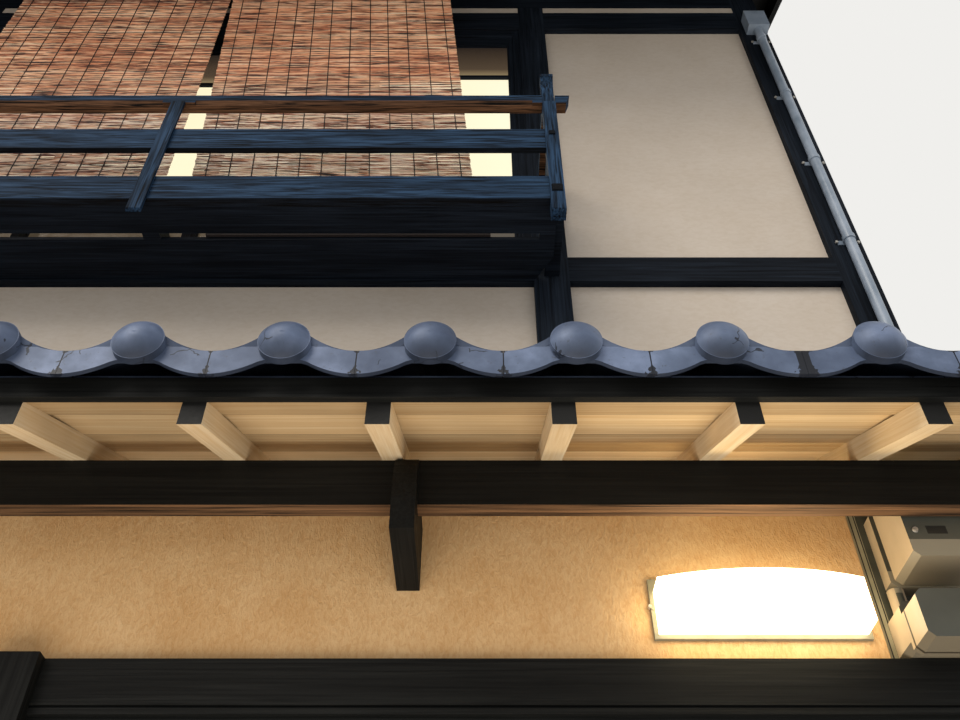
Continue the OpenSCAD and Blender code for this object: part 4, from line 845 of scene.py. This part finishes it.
paint, tree, shader, place = new_finish("blue-grey paint on steel")
dust = add(tree, NOISE, {"Vector": place, "Scale": 14.0, "Detail": 5.0})
surface(tree, shader, add(tree, RAMP, (dust,), stops=((0.3, "#6f7c8a"), (0.7, "#8f9aa8"))),
        add(tree, RANGE, (dust, 0.3, 0.7, 0.3, 0.45)))
cover(paint, "conduit", "conduit_fittings")


# Wall lamp: a pressed steel tray in olive-grey enamel, and a bowed diffuser of opal acrylic lit from
# behind by two tubes. A screw at each end holds the diffuser to the tray.

LAMP_SCREWS, LAMP_SCREW_Z = (1.2735, 1.7145), 2.463
LAMP_GLOW = 7.5

enamel, tree, shader, place = new_finish("olive-grey enamel")
dust = add(tree, NOISE, {"Vector": place, "Scale": 30.0, "Detail": 4.0})
surface(tree, shader, add(tree, RAMP, (dust,), stops=((0.3, "#77735f"), (0.7, "#8f8b76"))),
        add(tree, RANGE, (dust, 0.3, 0.7, 0.32, 0.46)))
cover(enamel, "lamp_base")
fasten("lamp_screws", steel, 12, 0.0045, 0.008,
       [(x, out(0.080), LAMP_SCREW_Z) for x in LAMP_SCREWS])

opal, tree, shader, place = new_finish("opal acrylic, lit", Roughness=0.25, Base_Color="#b8b2a2",
                                       Emission_Strength=LAMP_GLOW)
warm = add(tree, NOISE, {"Vector": place, "Scale": 5.0, "Detail": 3.0})
warm = add(tree, RAMP, (warm,), stops=((0.3, "#ffe6b4"), (0.7, "#ffecc4")))
tree.links.new(warm, shader.inputs["Emission Color"])
cover(opal, "lamp_diffuser")


# Meters: moulded housings in beige plastic, yellowed by the sun, with clear covers that look dark from
# the front. They are screwed to a dark board with a painted trim along its edge.

TRIM_X = 1.764
TRIM_GROOVES, HALF_GROOVE = (0.003, 0.014), 0.0014
BAND_Z, PANEL_Z = 2.49, 2.540
JOINT_Y, JOINT_Z, HALF_JOINT = out(0.150), 2.455, 0.003
METER_SCREWS, METER_SCREW_Z = (1.803, 1.925), 2.561
WINDOW = ((X, 1.827, 1.868), (Z, 2.553, 2.572))

abs_plastic, tree, shader, place = new_finish("moulded beige plastic", Roughness=0.42)
axes = add(tree, AXES, (place,), None).outputs
fade = add(tree, NOISE, {"Vector": place, "Scale": 8.0, "Detail": 4.0})
colour = add(tree, RAMP, (fade,), stops=((0.3, "#a8957a"), (0.7, "#c0ad90")))
# front: smoky cover above, grey terminal cover below, and a display behind a small window; the dark is also
# painted shade on the beige housing fronts
front = add(tree, RAMP, (fade,), stops=((0.3, "#3b3d36"), (0.7, "#4a4b43")))
band = between(tree, axes[Z], BAND_Z, PANEL_Z)
front = add(tree, MIX, {0: band, 6: front, 7: "#86806f"}, 2, data_type="RGBA")
window = add(tree, MATH, [between(tree, axes[axis], *edges) for axis, *edges in WINDOW], operation="MULTIPLY")
front = add(tree, MIX, {0: window, 6: front, 7: "#1b1d1b"}, 2, data_type="RGBA")
to_street = add(tree, MATH, (facing(tree)[Y], -0.9), operation="LESS_THAN")
colour = add(tree, MIX, {0: to_street, 6: colour, 7: front}, 2, data_type="RGBA")
# painted shade: the undersides are darker
under = add(tree, MATH, (facing(tree)[Z], -0.3), operation="LESS_THAN")
colour = add(tree, MIX, {0: under, 6: colour, 7: "#6f6757"}, 2, data_type="RGBA")
# joint between base and cover on the lower meter
joint = add(tree, MATH, (away(tree, axes[Y], JOINT_Y), HALF_JOINT), operation="LESS_THAN")
below = add(tree, MATH, (axes[Z], JOINT_Z), operation="LESS_THAN")
joint = add(tree, MATH, (joint, below), operation="MULTIPLY")
colour = add(tree, MIX, {0: joint, 6: colour, 7: "#3c352a"}, 2, data_type="RGBA")
surface(tree, shader, colour)
cover(abs_plastic, "meter_boxes")
fasten("meter_screws", steel, 16, 0.0065, 0.004,
       [(x, out(0.2165), METER_SCREW_Z) for x in METER_SCREWS])

board, tree, shader, place = new_finish("painted meter board", Roughness=0.5)
across = add(tree, AXES, (place,), X)
grime = add(tree, NOISE, {"Vector": place, "Scale": 20.0, "Detail": 4.0})
on_trim = add(tree, MATH, (across, TRIM_X), operation="LESS_THAN")
dark = add(tree, RAMP, (grime,), stops=((0.3, "#2f312b"), (0.7, "#44463c")))
trim = add(tree, RAMP, (grime,), stops=((0.3, "#8a866c"), (0.7, "#a5a086")))
colour = add(tree, MIX, {0: on_trim, 6: dark, 7: trim}, 2, data_type="RGBA")
for edge in TRIM_GROOVES:
    groove = add(tree, MATH, (away(tree, across, TRIM_X - edge), HALF_GROOVE), operation="LESS_THAN")
    colour = add(tree, MIX, {0: groove, 6: colour, 7: "#1d1e1a"}, 2, data_type="RGBA")
surface(tree, shader, colour)
cover(board, "meter_board")


# Party walls and roof timber: posts and clay behind upright cedar boards charred against rot, with
# battens over the joints, under stained rafters and roof boards.

BATTEN = 0.03
BATTEN_STEP = 0.45
BOARD = 0.15

charred = timber("charred cedar boards", Z, "#37332f", "#131110", 0.008, 0.62, 0.0015, boards=(Y, BOARD, 0.0))
cover(charred, "party_walls")
cover(timber("stained cedar, rafters", Y, pitch=LEAN, **STAINED), "roof_rafters")
cover(timber("stained cedar, roof boards", X, boards=(Y, BOARD, 0.0), **STAINED), "roof_boards")


def batten_tree():
    """Tree that stands a batten on each point, cut off under the slope of the roof."""
    tree, names, given = new_maker("wall battens", ("Width", "Thickness", "Foot", "Ridge", "Pitch"),
                                   points=True)
    bar = add(tree, "GeometryNodeMeshCube", {"Size": (1.0, 1.0, 1.0)})
    size = add(tree, VECTOR, (given["Thickness"], given["Width"], 1.0))
    bars = add(tree, ON_POINTS, {"Points": given["Points"], "Instance": bar, "Scale": size})
    bars = add(tree, REALIZE, (bars,))
    x, y, z = position(tree)
    drop = add(tree, MATH, (y,), operation="ABSOLUTE")
    drop = add(tree, MATH, (drop, given["Pitch"]), operation="MULTIPLY")
    top = add(tree, MATH, (given["Ridge"], drop), operation="SUBTRACT")
    upper = add(tree, MATH, (z, 0.0), operation="GREATER_THAN")
    height = add(tree, MATH, (top, given["Foot"]), operation="SUBTRACT")
    height = add(tree, MATH, (upper, height), operation="MULTIPLY")
    height = add(tree, MATH, (height, given["Foot"]), operation="ADD")
    height = add(tree, MATH, (height, z), operation="SUBTRACT")
    cut = add(tree, SET, {"Geometry": bars, "Offset": add(tree, VECTOR, {Z: height})})
    finished(tree, cut, given["Finish"], 0.3)
    return tree, names


low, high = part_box("party_walls")
rows = int((high.y - low.y) / BATTEN_STEP)
battens = bake("wall_battens", *batten_tree(), {
    "Width": BATTEN, "Thickness": 0.016, "Foot": 0.125, "Ridge": high.z - 0.004, "Pitch": PITCH,
    "Finish": charred}, [(side * (high.x + 0.004), (i - (rows - 1) / 2) * BATTEN_STEP, 0.0)
                         for side in (-1, 1) for i in range(rows)])
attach(battens, "root")


# Camera: a wide lens held at eye height close under the eaves and tipped up, as the photograph was
# taken. The camera is level across, so uprights run together towards the top.

CAMERA_PLACE = (0.926, -5.5005, 1.5)
CAMERA_TILT = 44.0

lens = bpy.data.cameras.new("street camera")
lens.lens = 35.0
lens.sensor_width = 36.0
camera = bpy.data.objects.new("street camera", lens)
camera.location = CAMERA_PLACE
camera.rotation_euler = (math.radians(90.0 + CAMERA_TILT), 0.0, 0.0)
bpy.context.scene.collection.objects.link(camera)
bpy.context.scene.camera = camera


# Light and floor: an even pale sky, a large soft lamp in front of the house, and a pale floor with a low
# soft lamp close above it, which together throw light up under the eaves.

FLOOR_HALF = 40

floor_mesh = bpy.data.meshes.new("floor")
floor_mesh.from_pydata([(x * FLOOR_HALF, y * FLOOR_HALF, 0) for x, y in ((-1, -1), (1, -1), (1, 1), (-1, 1))],
                       [], [(0, 1, 2, 3)])
floor = bpy.data.objects.new("floor", floor_mesh)
bpy.context.scene.collection.objects.link(floor)
floor_mesh.materials.append(new_finish("floor", Roughness=0.9, Base_Color="#e4e2de")[0])

world = bpy.data.worlds.new("studio")
bpy.context.scene.world = world
world.use_nodes = True
tree = world.node_tree
tree.nodes.clear()
rays = add(tree, "ShaderNodeLightPath", (), None).outputs
shown = rays["Is Camera Ray"]
for ray in ("Is Glossy Ray", "Is Transmission Ray"):
    shown = add(tree, MATH, (shown, rays[ray]), operation="MAXIMUM")
lit = add(tree, "ShaderNodeBackground", {"Color": "#e6eaf0", "Strength": 0.8})
seen = add(tree, "ShaderNodeBackground", {"Color": "#f0efec", "Strength": 1.0})
sky = add(tree, "ShaderNodeMixShader", (shown, lit, seen))
add(tree, "ShaderNodeOutputWorld", (sky,), None)


def set_lamp(name, kind, place, target, power, colour, **settings):
    """Soft lamp aimed at a point."""
    data = bpy.data.lights.new(name, kind)
    data.energy = power
    data.color = linear(colour)[:3]
    for key, value in settings.items():
        setattr(data, key, value)
    made = bpy.data.objects.new(name, data)
    made.location = place
    made.rotation_euler = (Vector(target) - Vector(place)).to_track_quat("-Z", "Y").to_euler()
    bpy.context.scene.collection.objects.link(made)
    return made


set_lamp("day lamp", "SUN", (-6.0, -13.0, 10.0), (0.0, -3.5, 1.5), 1.9, "#fff8ee", angle=math.radians(40.0))
low_lamp = set_lamp("low lamp", "AREA", (0.3, -5.0, 0.2), (0.3, -5.0, 2.6), 105.0, "#fff2e0",
                    shape="RECTANGLE", size=5.0, size_y=2.0)
low_lamp.visible_camera = False

bpy.context.scene.view_settings.view_transform = "Standard"
